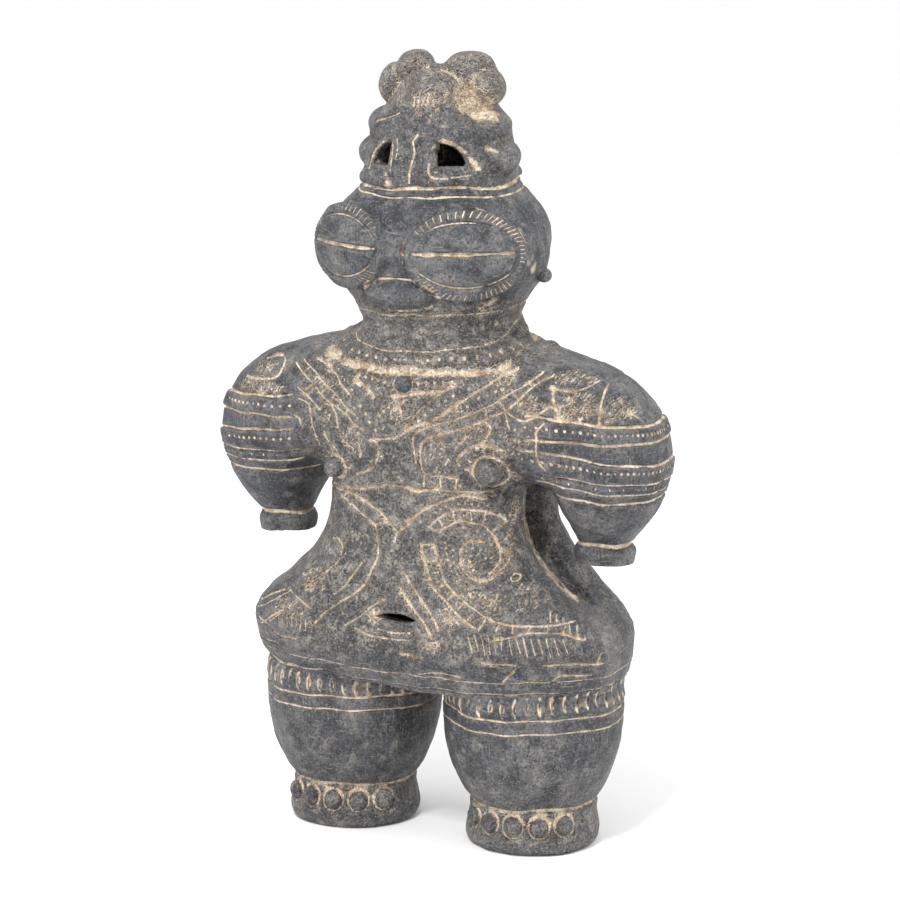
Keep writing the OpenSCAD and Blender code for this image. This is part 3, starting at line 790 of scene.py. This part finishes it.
def dustiness(p):
    """Trunk, neck and top of the crown hold more dust than head and limbs."""
    x, z = np.abs(p[:, 0]), p[:, 2]
    where = [z > 338, z > 303, z > 252, z > 228, on_arm(p), (z > 92) & (x < 52), z > 92, z > 24]
    return np.select(where, [1.25, 0.38, 0.0, 0.95, 0.02, 0.85, 0.38, 0.15], 0.6)


def relief(p, n):
    """Height, slip and roughness at each point, and whether a stroke is near."""
    height, slip, near = blank(p)
    rough, raised = np.zeros(len(p)), np.zeros(len(p))
    facing = np.clip((np.abs(n[:, 1]) - 0.12) / 0.25, 0, 1)
    for canvas, here in ((front, p[:, 1] < 0), (back, p[:, 1] >= 0)):
        k = np.where(here & (p[:, 2] > PATTERN_FOOT) & (facing > 0))[0]
        x, z = p[k, 0], p[k, 2]
        height[k] = -canvas.at(canvas.depth, x, z) * facing[k]
        raised[k] = canvas.at(canvas.raised, x, z) * facing[k]
        slip[k] = canvas.at(canvas.slip, x, z) * facing[k]
        rough[k] = canvas.at(canvas.rough, x, z) * facing[k]
        near[k] = canvas.at(canvas.near, x, z) > 0
    rough = np.maximum(rough, dustiness(p))
    # Hand-drawn lines aren't level
    wobble = 0.45 * np.sin(p[:, 0] * 0.11) + 0.3 * np.sin(p[:, 1] * 0.17)
    wobble = wobble + 0.25 * np.sin(p[:, 0] * 0.31 + 1)
    # Arm lines fade out towards the chest
    fades = {"arm": np.clip((np.abs(p[:, 0]) - 56) / 5, 0, 1)}
    for piece, z0, sx, sy, half, rise in STRAPS:
        t = np.abs(level_offset(piece, p, z0, sx, sy) - wobble)
        fade = fades.get(piece, 1)
        raised = np.maximum(raised, rise * fade * fall((t - half + 0.9) / 1.8))
        if piece == "leg":
            slip = np.maximum(slip, 0.42 * fall(t / 4.8))
    for piece, z0, sx, sy, width, depth, amount in RINGS:
        drift = wobble + 0.3 * np.sin(p[:, 0] * 0.07 + z0)
        t = np.abs(level_offset(piece, p, z0, sx, sy) - drift)
        fade = fades.get(piece, 1)
        height = np.minimum(height, -depth * fade * fall(t / width / 0.65))
        slip = np.maximum(slip, amount * fade * fall(t / width / 0.6))
        near |= t < width / 2 + 0.7
    for piece, z0, sx, sy, gap, radius, depth, amount, tall in DOT_RINGS:
        cx = centre_of(piece, p)
        turn = np.degrees(np.arctan2(p[:, 1], p[:, 0] - cx))
        reach = np.hypot(p[:, 1], p[:, 0] - cx)
        s = np.radians((turn + 720) % gap - gap / 2) * reach
        t = level_offset(piece, p, z0, sx, sy) - wobble
        d = np.hypot(s, t / tall)
        height = np.minimum(height, -depth * fall(d / radius / 1.2))
        slip = np.maximum(slip, amount * fall(d / radius / 1.2))
        if amount == 0:
            slip = np.maximum(slip, 0.9 * fall(np.abs(d - radius - 0.4) / 0.9) * (s < 0.2))
        near |= d < radius + 0.7
    height += raised
    for extra in (goggle_relief, mouth_relief, toe_relief, knob_relief):
        h, s, m = extra(p)
        height += h
        slip = np.maximum(slip, s)
        near |= m
    # The throat knob is smooth, and slip lies round its foot
    from_knob = np.hypot((p[:, 0] - THROAT_KNOB[0]) / 5, (p[:, 2] - THROAT_KNOB[2]) / 4.1)
    from_knob = np.where(p[:, 1] < -30, from_knob, 9)
    for field in (height, slip, rough):
        field[from_knob < 1.05] = 0
    foot_ring = fall((from_knob - 1.2) / 0.2)
    height -= 0.45 * foot_ring
    slip = np.maximum(slip, 0.2 * foot_ring)
    near |= from_knob < 1.6
    return height, slip, rough, near


def blank(p):
    """Height, slip and nearness at each point, all empty."""
    return np.zeros(len(p)), np.zeros(len(p)), np.zeros(len(p), bool)


def goggle_frame(x, y):
    """Places along a goggle and out of its face, which is turned to the side."""
    a = math.radians(GOGGLE_TURN)
    dx, dy = x - GOGGLE_AT[0], y - GOGGLE_AT[1]
    return dx * math.cos(a) + dy * math.sin(a), dy * math.cos(a) - dx * math.sin(a)


def goggle_relief(p):
    """The domed pad, its slit, and the ticks and line round the rim."""
    height, slip, near = blank(p)
    for side in (-1, 1):
        u, w = goggle_frame(p[:, 0] * side, p[:, 1])
        v = (p[:, 2] - GOGGLE_AT[2] - GOGGLE_LIFT[side]) / GOGGLE_SIZE[side]
        u = u / GOGGLE_SIZE[side]
        rho = np.hypot(u / GOGGLE_LONG, v / GOGGLE_HIGH)
        k = np.where((rho < 1.12) & (w < 3))[0]
        u, v, rho = u[k], v[k], rho[k]
        theta = np.degrees(np.arctan2(v / GOGGLE_HIGH, u / GOGGLE_LONG))
        # The domed pad and its edge, brighter below and at the short upper line
        pad = np.hypot((u + 0.5) / 24.0, (v - 0.5) / 14.6)
        edge = np.abs(pad - 1) * 16
        bright = 0.2 + 0.4 * (v < -8) + 0.4 * ((v > 9) & (u < 4) & (u > -16))
        h = 1.4 * np.clip(1 - pad**2, 0, 1) ** 0.6 - 0.8 * fall(edge / 1.4)
        s = bright * fall(edge / 1.0)
        # The slit, widest towards the nose
        slit = np.hypot(np.maximum(np.abs(u + 0.5) - 22.5, 0), v - 1.2 - 0.02 * u)
        reach = 1.45 - 0.02 * u
        h -= 1.9 * fall(slit / reach / 1.2)
        s = np.maximum(s, 1.2 * fall(slit / reach))
        # Slanted ticks on the rim
        step = np.where(theta > 70, 8.0, 5.5)
        tick = np.abs((theta + 18 * (rho - 0.9) + 720) % step - step / 2) * 0.42
        upper = (theta > -12) & (theta < 150)
        lower = (theta < -35) & (theta > -150)
        band = (rho > 0.82) & (rho < 0.96) & (upper | lower) & (pad > 1.05)
        t = np.where(band, tick, 9)
        h -= 0.7 * fall(t / 0.8)
        strength = np.where(theta > 60, 0.7, 1.0) - 0.4 * lower - 0.2 * (side < 0)
        s = np.maximum(s, strength * fall(t / 0.7))
        rim = np.abs(rho - 1.0) * 22
        h -= 0.6 * fall(rim / 1.4)
        s = np.maximum(s, (0.25 + 0.5 * (u > 16)) * fall(rim / 1.0))
        height[k] += h
        slip[k] = np.maximum(slip[k], s)
        near[k] = (edge < 1.6) | (slit < 1.8) | band | (rim < 1.4)
    return height, slip, near


def mouth_relief(p):
    """Bright slip over the upper lip, faint below."""
    rho = np.hypot((p[:, 0] + 1) / 19.0, (p[:, 2] - 255.6) / 7.6)
    here = (p[:, 1] < -30) & (rho < 1.4)
    edge = np.where(here, np.abs(rho - 1) * 8.5, FAR)
    amount = np.where(p[:, 2] > 254.5, 0.85, 0.25)
    return -0.7 * fall(edge / 1.4), amount * fall(edge / 0.8), edge < 1.6


def toe_relief(p):
    """A ring of slip round each toe."""
    height, slip, near = blank(p)
    k = np.where(p[:, 2] < 24)[0]
    x = np.abs(p[k, 0])
    side = np.sign(p[k, 0])
    turn = np.degrees(np.arctan2(p[k, 1], (x - LEG_X) * side))
    for angle in TOE_ANGLES:
        s = np.radians(turn - angle) * 30.5
        v = p[k, 2] - TOE_Z
        d = np.hypot(s, v)
        ring = np.abs(d - 5.4)
        # Slip lies mostly above and between the toes, and little below them
        amount = 0.1 + 0.7 * np.clip((v + 4.5) / 8, 0, 1)
        height[k] -= 0.9 * fall(ring / 1.5)
        slip[k] = np.maximum(slip[k], amount * fall(ring / (1.0 + 0.7 * (v > 0))))
        near[k] |= d < 7
    return height, slip, near


def knob_relief(p):
    """A thin ring of slip round each breast, with short dashes outside it."""
    height, slip, near = blank(p)
    for x, _, z, radius in BREASTS.values():
        d = np.hypot(p[:, 0] - x, p[:, 2] - z) - radius
        turn = np.degrees(np.arctan2(p[:, 2] - z, (p[:, 0] - x) * np.sign(x)))
        here = (p[:, 1] < -20) & (d < 5)
        ring = np.where(here, np.abs(d - 0.9), FAR)
        dash = np.abs((turn + 720) % 26 - 13) * 0.15
        dash = np.where(here & (d > 1.8) & (d < 4.2) & (turn > -30), dash, FAR)
        height -= 0.8 * fall(ring / 1.2) + 0.5 * fall(dash / 0.8)
        slip = np.maximum(slip, np.maximum(0.95 * fall(ring / 1.0), 0.75 * fall(dash / 0.8)))
        near |= here & (d > -1)
    return height, slip, near


def refined(points, quads, near):
    """Splits the marked quads in four; their neighbours take the extra corners."""
    marked = near[quads].any(1)
    pairs = np.stack([quads, np.roll(quads, -1, 1)], 2).reshape(-1, 2)
    lo, hi = pairs.min(1), pairs.max(1)
    key = lo * np.int64(len(points)) + hi
    split_keys = np.unique(key.reshape(-1, 4)[marked])
    middle = (points[split_keys // len(points)] + points[split_keys % len(points)]) / 2
    spot = np.searchsorted(split_keys, key)
    spot = np.minimum(spot, len(split_keys) - 1)
    mids = np.where(split_keys[spot] == key, len(points) + spot, -1).reshape(-1, 4)
    centres = points[quads[marked]].mean(1)
    first_centre = len(points) + len(middle)
    out = np.concatenate([points, middle, centres])
    c, m = quads[marked], mids[marked]
    f = first_centre + np.arange(len(c))
    fine = np.concatenate([
        np.stack([c[:, 0], m[:, 0], f, m[:, 3]], 1),
        np.stack([m[:, 0], c[:, 1], m[:, 1], f], 1),
        np.stack([f, m[:, 1], c[:, 2], m[:, 2]], 1),
        np.stack([m[:, 3], f, m[:, 2], c[:, 3]], 1),
    ])
    has_mid = (mids >= 0).any(1) & ~marked
    plain = quads[~marked & ~has_mid]
    rows = np.full((has_mid.sum(), 8), -1, np.int64)
    rows[:, 0::2] = quads[has_mid]
    rows[:, 1::2] = mids[has_mid]
    return out, np.concatenate([plain, fine]), rows


normals = vertex_normals(points, quads)
near = relief(points, normals)[3]
points, quads, seams = refined(points, quads, near)


def polygon_arrays(quads, seams):
    """Loops and their starts, for quads followed by many-sided faces."""
    loops = seams[seams >= 0]
    sizes = (seams >= 0).sum(1)
    starts = np.concatenate([4 * np.arange(len(quads)), 4 * len(quads) + np.cumsum(sizes) - sizes])
    return np.concatenate([quads.ravel(), loops]), starts


def smooth_noise(p, size, seed):
    """A gentle random wave, about -1 to 1, with features of the given size."""
    rng = np.random.default_rng(seed)
    out = np.zeros(len(p))
    for _ in range(7):
        way = rng.normal(size=3)
        way *= 2 * math.pi / (size * rng.uniform(0.7, 1.6)) / np.linalg.norm(way)
        out += np.sin(p @ way + rng.uniform(0, 6.28))
    return out / 3.5


loops, starts = polygon_arrays(quads, seams)
rough_quads = np.concatenate([quads, seams[:, 0::2]])
normals = vertex_normals(points, rough_quads)
height, slip, rough, _ = relief(points, normals)
hand_made = (
    0.42 * smooth_noise(points, 32, 1)
    + 0.24 * smooth_noise(points, 11, 2)
    + 0.09 * smooth_noise(points, 4.5, 3)
)
on_ground = points[:, 2] < 1.5
points = points + normals * np.where(on_ground, 0, height + hand_made)[:, None]
points[:, 2] = np.maximum(points[:, 2], 0)


def neighbour_mean(values, quads, rounds):
    """Values averaged over each point's neighbours, several times."""
    a = quads.ravel()
    b = np.roll(quads, -1, 1).ravel()
    size = len(values)
    count = np.maximum(np.bincount(a, minlength=size) + np.bincount(b, minlength=size), 1)
    for _ in range(rounds):
        total = np.empty_like(values)
        for i in range(values.shape[1]):
            total[:, i] = np.bincount(a, values[b, i], size) + np.bincount(b, values[a, i], size)
        values = 0.5 * values + 0.5 * total / count[:, None]
    return values


normals = vertex_normals(points, rough_quads)
hollow = ((neighbour_mean(points, rough_quads, 6) - points) * normals).sum(1)

# The slip wears away in places along each line, and leaves a haze about it
patchy = 0.70 + 0.40 * smooth_noise(points, 9, 4) + 0.22 * smooth_noise(points, 3.2, 5)
slip *= np.clip(patchy, 0.12, 1.0)
haze = neighbour_mean(slip[:, None], rough_quads, 30)[:, 0]
slip = np.maximum(slip, 1.1 * haze)
rough = neighbour_mean(rough[:, None], rough_quads, 20)[:, 0]

# Slip also lies in recesses: centre, reach, amount
STAINS = [
    ((19, -12, 342), 13, 1.3),
    ((26, -10, 335.5), 12, 1.3),
    ((-25, -5, 311), 14, 0.8),
    ((32, -15, 319), 6, 0.75),
    ((-32, -15, 319), 6, 0.6),
    ((-8, -38, 302), 10, 0.65),
    ((10, -38, 302), 9, 0.6),
    ((-26, -28, 303), 8, 0.6),
    ((30, -24, 302), 8, 0.5),
    ((-17, -30, 308), 5, 0.6),
    ((4, -24, 338), 9, 0.35),
    ((-10.5, -45, 109), 7, 1.6),
    ((0, -43, 207), 11, 0.5),
    ((27, -47, 114), 12, 0.55),
    ((18, -47, 100), 10, 0.4),
    ((-24, -36, 205), 9, 0.45),
    ((-47, -27, 210), 12, 0.35),
    ((8, -42, 222), 12, 0.4),
    ((46, -28, 222), 12, 0.45),
    ((48, -22, 160), 8, 0.6),
    ((-63, -14, 146), 9, 0.7),
    ((-68, -12, 136), 7, 0.6),
    ((75, -14, 145), 9, 0.5),
    ((2.6, -42, 275), 3.5, 1.0),
    ((50, -16, 284), 10, 0.8),
    ((51, -8, 268), 11, 0.8),
    ((36, -24, 252), 12, 0.6),
    ((-60, -30, 28), 12, 0.4),
    ((30, -30, 25), 10, 0.35),
    ((62, -22, 113), 8, 0.7),
]
# and along the front lip of the fold
LIP = [(x - 1, -8, z) for x, _, z in FOLD]
STAINS += [((side * x, y, z), 8, 1.0) for x, y, z in catmull(LIP, 3) for side in (-1, 1)]
for centre, reach, amount in STAINS:
    d = np.linalg.norm(points - np.array(centre), axis=1)
    slip = np.maximum(slip, amount * fall(d / reach) * (0.75 + 0.35 * smooth_noise(points, 5, 6)))
slip = np.clip(slip + np.clip(hollow * 2.6 - 0.1, 0, 0.6), 0, 1)
# Convex spots are marked for lighter colour: partly rubbed wear, partly a painted highlight along the edges
wear_and_highlight = np.clip(-hollow * 4, 0, 1)


# ---- One skin per CAD node -----------------------------------------------------
def side_name(p, stem):
    return np.where(p[:, 0] > 0, "left_" + stem, "right_" + stem)


def node_of(p):
    """The CAD node that each point belongs to."""
    x, y, z = np.abs(p[:, 0]), p[:, 1], p[:, 2]
    name = np.full(len(p), "hip_shell", dtype="U24")

    def put(here, what):
        name[here] = what[here] if isinstance(what, np.ndarray) else what

    put(z < HEM_Z + 3, side_name(p, "leg"))
    put((z > 65.5) & (z < HEM_Z + 1.5), side_name(p, "thigh_band"))
    put(z < 20.5, side_name(p, "foot"))
    toe_ring = (z > 8.5) & (z < 20) & (y < 0) & (np.hypot(x - LEG_X, y) > 28.4)
    put(toe_ring, side_name(p, "toes"))
    put((z >= HEM_Z + 1) & (z < 84.5), "hip_hem")
    put(z >= 84.5, "hip_shell")
    for kx, kz, radius in HIP_KNOBS:
        put(np.hypot(p[:, 0] - kx, z - kz) < radius, "hip_knobs")
    arm = on_arm(p)
    put((z > WAIST_Z) & ~arm, "chest_shell")
    put(arm | ((z > WAIST_Z) & (x > ARM_X) & (z < 240)), side_name(p, "arm"))
    arm = arm & (x > 60)
    put(arm & (z < 144.5), side_name(p, "hand"))
    put(arm & (np.abs(z - 200.4 + 0.06 * (x - ARM_X)) < 4), side_name(p, "upper_armband"))
    put(arm & (np.abs(z - 184.2 + 0.09 * (x - ARM_X)) < 5), side_name(p, "lower_armband"))
    for bx, _, bz, radius in BREASTS.values():
        put((np.hypot(p[:, 0] - bx, z - bz) < radius + 1.2) & (y < -30), side_name(p, "breast"))
    put((np.hypot(x - 50.5, z - 228) < 4.6) & (np.abs(y - 8) < 4.6), side_name(p, "shoulder_knob"))
    tilt = 0.22 * (y + 38)
    near_neck = (x < 47) & (z > 200)
    put(near_neck & (z > 229.2 + tilt), "neck")
    put(near_neck & (np.abs(z - 226.6 - tilt) < 2.6), "upper_necklace")
    put(near_neck & (np.abs(z - 216.4 - tilt) < 2.8), "lower_necklace")
    from_knob = np.hypot((p[:, 0] - THROAT_KNOB[0]) / 5, (z - THROAT_KNOB[2]) / 4.2)
    put((from_knob < 1) & (y < -30), "throat_knob")
    put(z > 245.8, "head_shell")
    put((z > 293.5) & (z < 302), "brow_band")
    put((np.hypot((p[:, 0] + 1) / 19, (z - 255.6) / 7.6) < 1) & (y < -32), "mouth_ring")
    u, w = goggle_frame(x, y)
    rho = np.hypot(u / GOGGLE_LONG, (z - GOGGLE_AT[2]) / GOGGLE_HIGH)
    put((rho < 1.0) & (w < 2), side_name(p, "goggle"))
    put((np.linalg.norm(np.stack([x - 48.5, y - 7, z - 262]), axis=0) < 5), side_name(p, "ear_knob"))
    put(z >= 302, "crown_shell")
    lobe = (z > 302) & (x > 30 - 0.25 * (z - 302)) & (np.abs(y) < 12)
    put(lobe | ((z > 341) & (x > 4)), side_name(p, "crown_lobes"))
    put((z > 326) & (x < 17) & (y < -16), "crown_front_boss")
    put((z > 326) & (x < 17) & (y > 12), "crown_back_boss")
    return name


corners = points[rough_quads].mean(1)
face_node = node_of(corners)
sizes = np.diff(np.append(starts, len(loops)))
clay_pieces = []
for node in sorted(set(face_node)):
    chosen = np.where(face_node == node)[0]
    counts = sizes[chosen]
    first = np.cumsum(counts) - counts
    take = np.repeat(starts[chosen] - first, counts) + np.arange(counts.sum())
    used, local = np.unique(loops[take], return_inverse=True)
    mesh = bpy.data.meshes.new(node + "_skin")
    mesh.vertices.add(len(used))
    mesh.vertices.foreach_set("co", (points[used] / MM_PER_METRE).astype(np.float32).ravel())
    mesh.loops.add(len(local))
    mesh.loops.foreach_set("vertex_index", local.astype(np.int32).ravel())
    mesh.polygons.add(len(counts))
    mesh.polygons.foreach_set("loop_start", first.astype(np.int32))
    mesh.update(calc_edges=True)
    mesh.shade_smooth()
    for label, values in (("slip", slip), ("wear_and_highlight", wear_and_highlight), ("rough", rough)):
        layer = mesh.attributes.new(label, "FLOAT", "POINT")
        layer.data.foreach_set("value", values[used].astype(np.float32))
    skin = bpy.data.objects.new(node + "_skin", mesh)
    bpy.context.scene.collection.objects.link(skin)
    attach(skin, "root")
    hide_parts(node)
    clay_pieces.append(skin)


# ---- Clay -----------------------------------------------------------------------
def node_tree(name):
    material = bpy.data.materials.new(name)
    material.use_nodes = True
    tree = material.node_tree
    return material, tree, tree.nodes["Principled BSDF"]


def noise(tree, where, scale, detail, roughness=0.6):
    made = tree.nodes.new("ShaderNodeTexNoise")
    made.inputs["Scale"].default_value = scale
    made.inputs["Detail"].default_value = detail
    made.inputs["Roughness"].default_value = roughness
    tree.links.new(where, made.inputs["Vector"])
    return made.outputs["Fac"]


def stretched(tree, where, turn, scale):
    made = tree.nodes.new("ShaderNodeMapping")
    made.inputs["Rotation"].default_value = turn
    made.inputs["Scale"].default_value = scale
    tree.links.new(where, made.inputs["Vector"])
    return made.outputs["Vector"]


def cracks(tree, where, scale):
    """Distance to the nearest edge between small cells."""
    made = tree.nodes.new("ShaderNodeTexVoronoi")
    made.feature = "DISTANCE_TO_EDGE"
    made.inputs["Scale"].default_value = scale
    tree.links.new(where, made.inputs["Vector"])
    return made.outputs["Distance"]


def attribute(tree, name):
    made = tree.nodes.new("ShaderNodeAttribute")
    made.attribute_name = name
    return made.outputs["Fac"]


def ramp(tree, fac, low, high, to=1.0):
    """Rises from 0 at low to the given value at high; falls instead if high is below low."""
    made = tree.nodes.new("ShaderNodeMapRange")
    made.interpolation_type = "SMOOTHSTEP"
    made.inputs["From Min"].default_value = min(low, high)
    made.inputs["From Max"].default_value = max(low, high)
    made.inputs["To Min"].default_value = 0.0 if low < high else to
    made.inputs["To Max"].default_value = to if low < high else 0.0
    tree.links.new(fac, made.inputs["Value"])
    return made.outputs["Result"]


def math_node(tree, operation, a, b, clamp=False):
    made = tree.nodes.new("ShaderNodeMath")
    made.operation = operation
    made.use_clamp = clamp
    for i, value in enumerate((a, b)):
        if isinstance(value, (int, float)):
            made.inputs[i].default_value = value
        else:
            tree.links.new(value, made.inputs[i])
    return made.outputs[0]


def times(tree, a, b, clamp=False):
    return math_node(tree, "MULTIPLY", a, b, clamp)


def plus(tree, a, b, clamp=False):
    return math_node(tree, "ADD", a, b, clamp)


def minus(tree, a, b):
    return math_node(tree, "SUBTRACT", a, b)


def mix(tree, fac, a, b):
    made = tree.nodes.new("ShaderNodeMix")
    made.data_type = "RGBA"
    for socket, value in ((made.inputs[0], fac), (made.inputs[6], a), (made.inputs[7], b)):
        if isinstance(value, (int, float)):
            socket.default_value = value
        elif isinstance(value, tuple):
            socket.default_value = (*value, 1)
        else:
            tree.links.new(value, socket)
    return made.outputs[2]


DARK_CLAY = (0.029, 0.034, 0.044)
GREY_CLAY = (0.098, 0.099, 0.104)
SMOKE = (0.014, 0.016, 0.021)
BROWN_DUST = (0.235, 0.195, 0.155)
DUST = (0.330, 0.295, 0.258)
# Lighter grey of convex edges: rubbed clay and painted highlight
WORN_HIGHLIGHT_CLAY = (0.200, 0.197, 0.200)
SPECK = (0.380, 0.345, 0.300)
SCRATCH = (0.300, 0.282, 0.262)
PORE = (0.010, 0.011, 0.013)
DULL_OCHRE = (0.350, 0.255, 0.170)
PALE_OCHRE = (0.770, 0.650, 0.505)
WARM_OCHRE = (0.640, 0.420, 0.235)
DIRT = (0.120, 0.090, 0.064)


def clay_material():
    material, tree, shader = node_tree("burnished_clay")
    place = tree.nodes.new("ShaderNodeTexCoord").outputs["Object"]
    blotch = noise(tree, place, 28, 6, 0.62)
    cloud = noise(tree, place, 85, 5, 0.65)
    mottle = noise(tree, place, 210, 6, 0.7)
    grain = noise(tree, place, 950, 3, 0.7)
    upright = noise(tree, stretched(tree, place, (0.25, 0.15, 0.2), (1100, 1100, 95)), 1, 2)
    level_marks = noise(tree, stretched(tree, place, (0.1, 0.45, 0.3), (130, 130, 1300)), 1, 2)
    net = cracks(tree, place, 430)
    slip, wear_and_highlight, rough = (attribute(tree, name) for name in ("slip", "wear_and_highlight", "rough"))

    # Smoked clay: dark to mid grey in clouds, dusty where it was handled
    clay = mix(tree, ramp(tree, blotch, 0.40, 0.60), DARK_CLAY, GREY_CLAY)
    clay = mix(tree, ramp(tree, cloud, 0.52, 0.38, 0.85), clay, SMOKE)
    clay = mix(tree, times(tree, rough, 0.17), clay, BROWN_DUST)
    dusty = plus(tree, times(tree, rough, 0.62), ramp(tree, cloud, 0.46, 0.62, 0.42))
    dust = times(tree, ramp(tree, mottle, 0.46, 0.62), dusty, clamp=True)
    clay = mix(tree, dust, clay, DUST)
    # Convex edges painted lighter: rubbed wear and a painted highlight
    clay = mix(tree, times(tree, wear_and_highlight, 0.5), clay, WORN_HIGHLIGHT_CLAY)
    # Fine marks: light specks and scratches, dark pores
    speckled = plus(tree, times(tree, rough, 0.6), 0.36)
    specks = times(tree, ramp(tree, grain, 0.55, 0.70), speckled, clamp=True)
    clay = mix(tree, specks, clay, SPECK)
    clay = mix(tree, ramp(tree, upright, 0.60, 0.72, 0.5), clay, SCRATCH)
    clay = mix(tree, ramp(tree, level_marks, 0.61, 0.73, 0.5), clay, SCRATCH)
    clay = mix(tree, ramp(tree, grain, 0.47, 0.35, 0.9), clay, PORE)

    # Ochre slip, thick in the lines and broken at their edges
    meshwork = times(tree, ramp(tree, net, 0.16, 0.03), rough)
    laid = plus(tree, times(tree, slip, 1.55), times(tree, meshwork, 0.55))
    broken = plus(tree, times(tree, mottle, 0.85), times(tree, grain, 0.25))
    cover = minus(tree, laid, broken)
    cover = times(tree, cover, 1.9, clamp=True)
    ochre = mix(tree, ramp(tree, mottle, 0.36, 0.58), DULL_OCHRE, PALE_OCHRE)
    ochre = mix(tree, ramp(tree, cloud, 0.55, 0.66, 0.45), ochre, WARM_OCHRE)
    ochre = mix(tree, ramp(tree, grain, 0.47, 0.36, 0.6), ochre, DIRT)
    colour = mix(tree, cover, clay, ochre)
    tree.links.new(colour, shader.inputs["Base Color"])

    gloss = plus(tree, times(tree, mottle, 0.35), 0.34)
    gloss = plus(tree, gloss, times(tree, cover, 0.30), clamp=True)
    tree.links.new(gloss, shader.inputs["Roughness"])
    shader.inputs["Specular IOR Level"].default_value = 0.40

    bumps = plus(tree, times(tree, grain, 0.30), times(tree, mottle, 0.55))
    bumps = minus(tree, bumps, ramp(tree, upright, 0.62, 0.72, 0.12))
    bumps = minus(tree, bumps, times(tree, meshwork, 0.45))
    bump = tree.nodes.new("ShaderNodeBump")
    bump.inputs["Strength"].default_value = 1.0
    bump.inputs["Distance"].default_value = 0.0018
    tree.links.new(bumps, bump.inputs["Height"])
    tree.links.new(bump.outputs["Normal"], shader.inputs["Normal"])
    return material


clay = clay_material()
for skin in clay_pieces:
    skin.data.materials.append(clay)

# ---- Stage -----------------------------------------------------------------------
scene = bpy.context.scene
FLOOR_REACH = 40
floor_mesh = bpy.data.meshes.new("floor")
floor_corners = [(x * FLOOR_REACH, y * FLOOR_REACH, 0) for x, y in ((-1, -1), (1, -1), (1, 1), (-1, 1))]
floor_mesh.from_pydata(floor_corners, [], [(0, 1, 2, 3)])
floor = bpy.data.objects.new("floor", floor_mesh)
scene.collection.objects.link(floor)
paper, _, paper_shader = node_tree("paper")
paper_shader.inputs["Base Color"].default_value = (0.95, 0.95, 0.95, 1)
paper_shader.inputs["Roughness"].default_value = 0.9
paper_shader.inputs["Specular IOR Level"].default_value = 0.1
floor_mesh.materials.append(paper)

world = bpy.data.worlds.new("studio")
world.use_nodes = True
world.node_tree.nodes["Background"].inputs["Color"].default_value = (1, 1, 1, 1)
world.node_tree.nodes["Background"].inputs["Strength"].default_value = 1.04
scene.world = world


def lamp(name, at, size, power):
    data = bpy.data.lights.new(name, "AREA")
    data.shape = "RECTANGLE"
    data.size, data.size_y = size
    data.energy = power
    light = bpy.data.objects.new(name, data)
    light.location = at
    light.rotation_mode = "QUATERNION"
    aim = Vector((0, 0, 0.18)) - Vector(at)
    light.rotation_quaternion = aim.to_track_quat("-Z", "Y")
    scene.collection.objects.link(light)


lamp("key", (0.1, -1.0, 1.35), (0.3, 0.3), 18)
lamp("rim", (0.9, 0.5, 0.9), (0.4, 0.8), 4)

AZIMUTH, ELEVATION, DISTANCE = math.radians(27), math.radians(11), 1.5
SENSOR, VIEW_WIDTH = 36, 0.412844
camera_data = bpy.data.cameras.new("camera")
camera_data.sensor_width = SENSOR
camera_data.lens = SENSOR * DISTANCE / VIEW_WIDTH
camera = bpy.data.objects.new("camera", camera_data)
scene.collection.objects.link(camera)
towards = Vector((
    math.sin(AZIMUTH) * math.cos(ELEVATION),
    -math.cos(AZIMUTH) * math.cos(ELEVATION),
    math.sin(ELEVATION),
))
right = Vector((math.cos(AZIMUTH), math.sin(AZIMUTH), 0))
up = towards.cross(right)
aim = Vector((0, 0, 0.18)) + right * 0.0032 - up * 0.0014
camera.location = aim + towards * DISTANCE
camera.rotation_mode = "QUATERNION"
camera.rotation_quaternion = (-towards).to_track_quat("-Z", "Y")
scene.camera = camera
scene.view_settings.view_transform = "Standard"
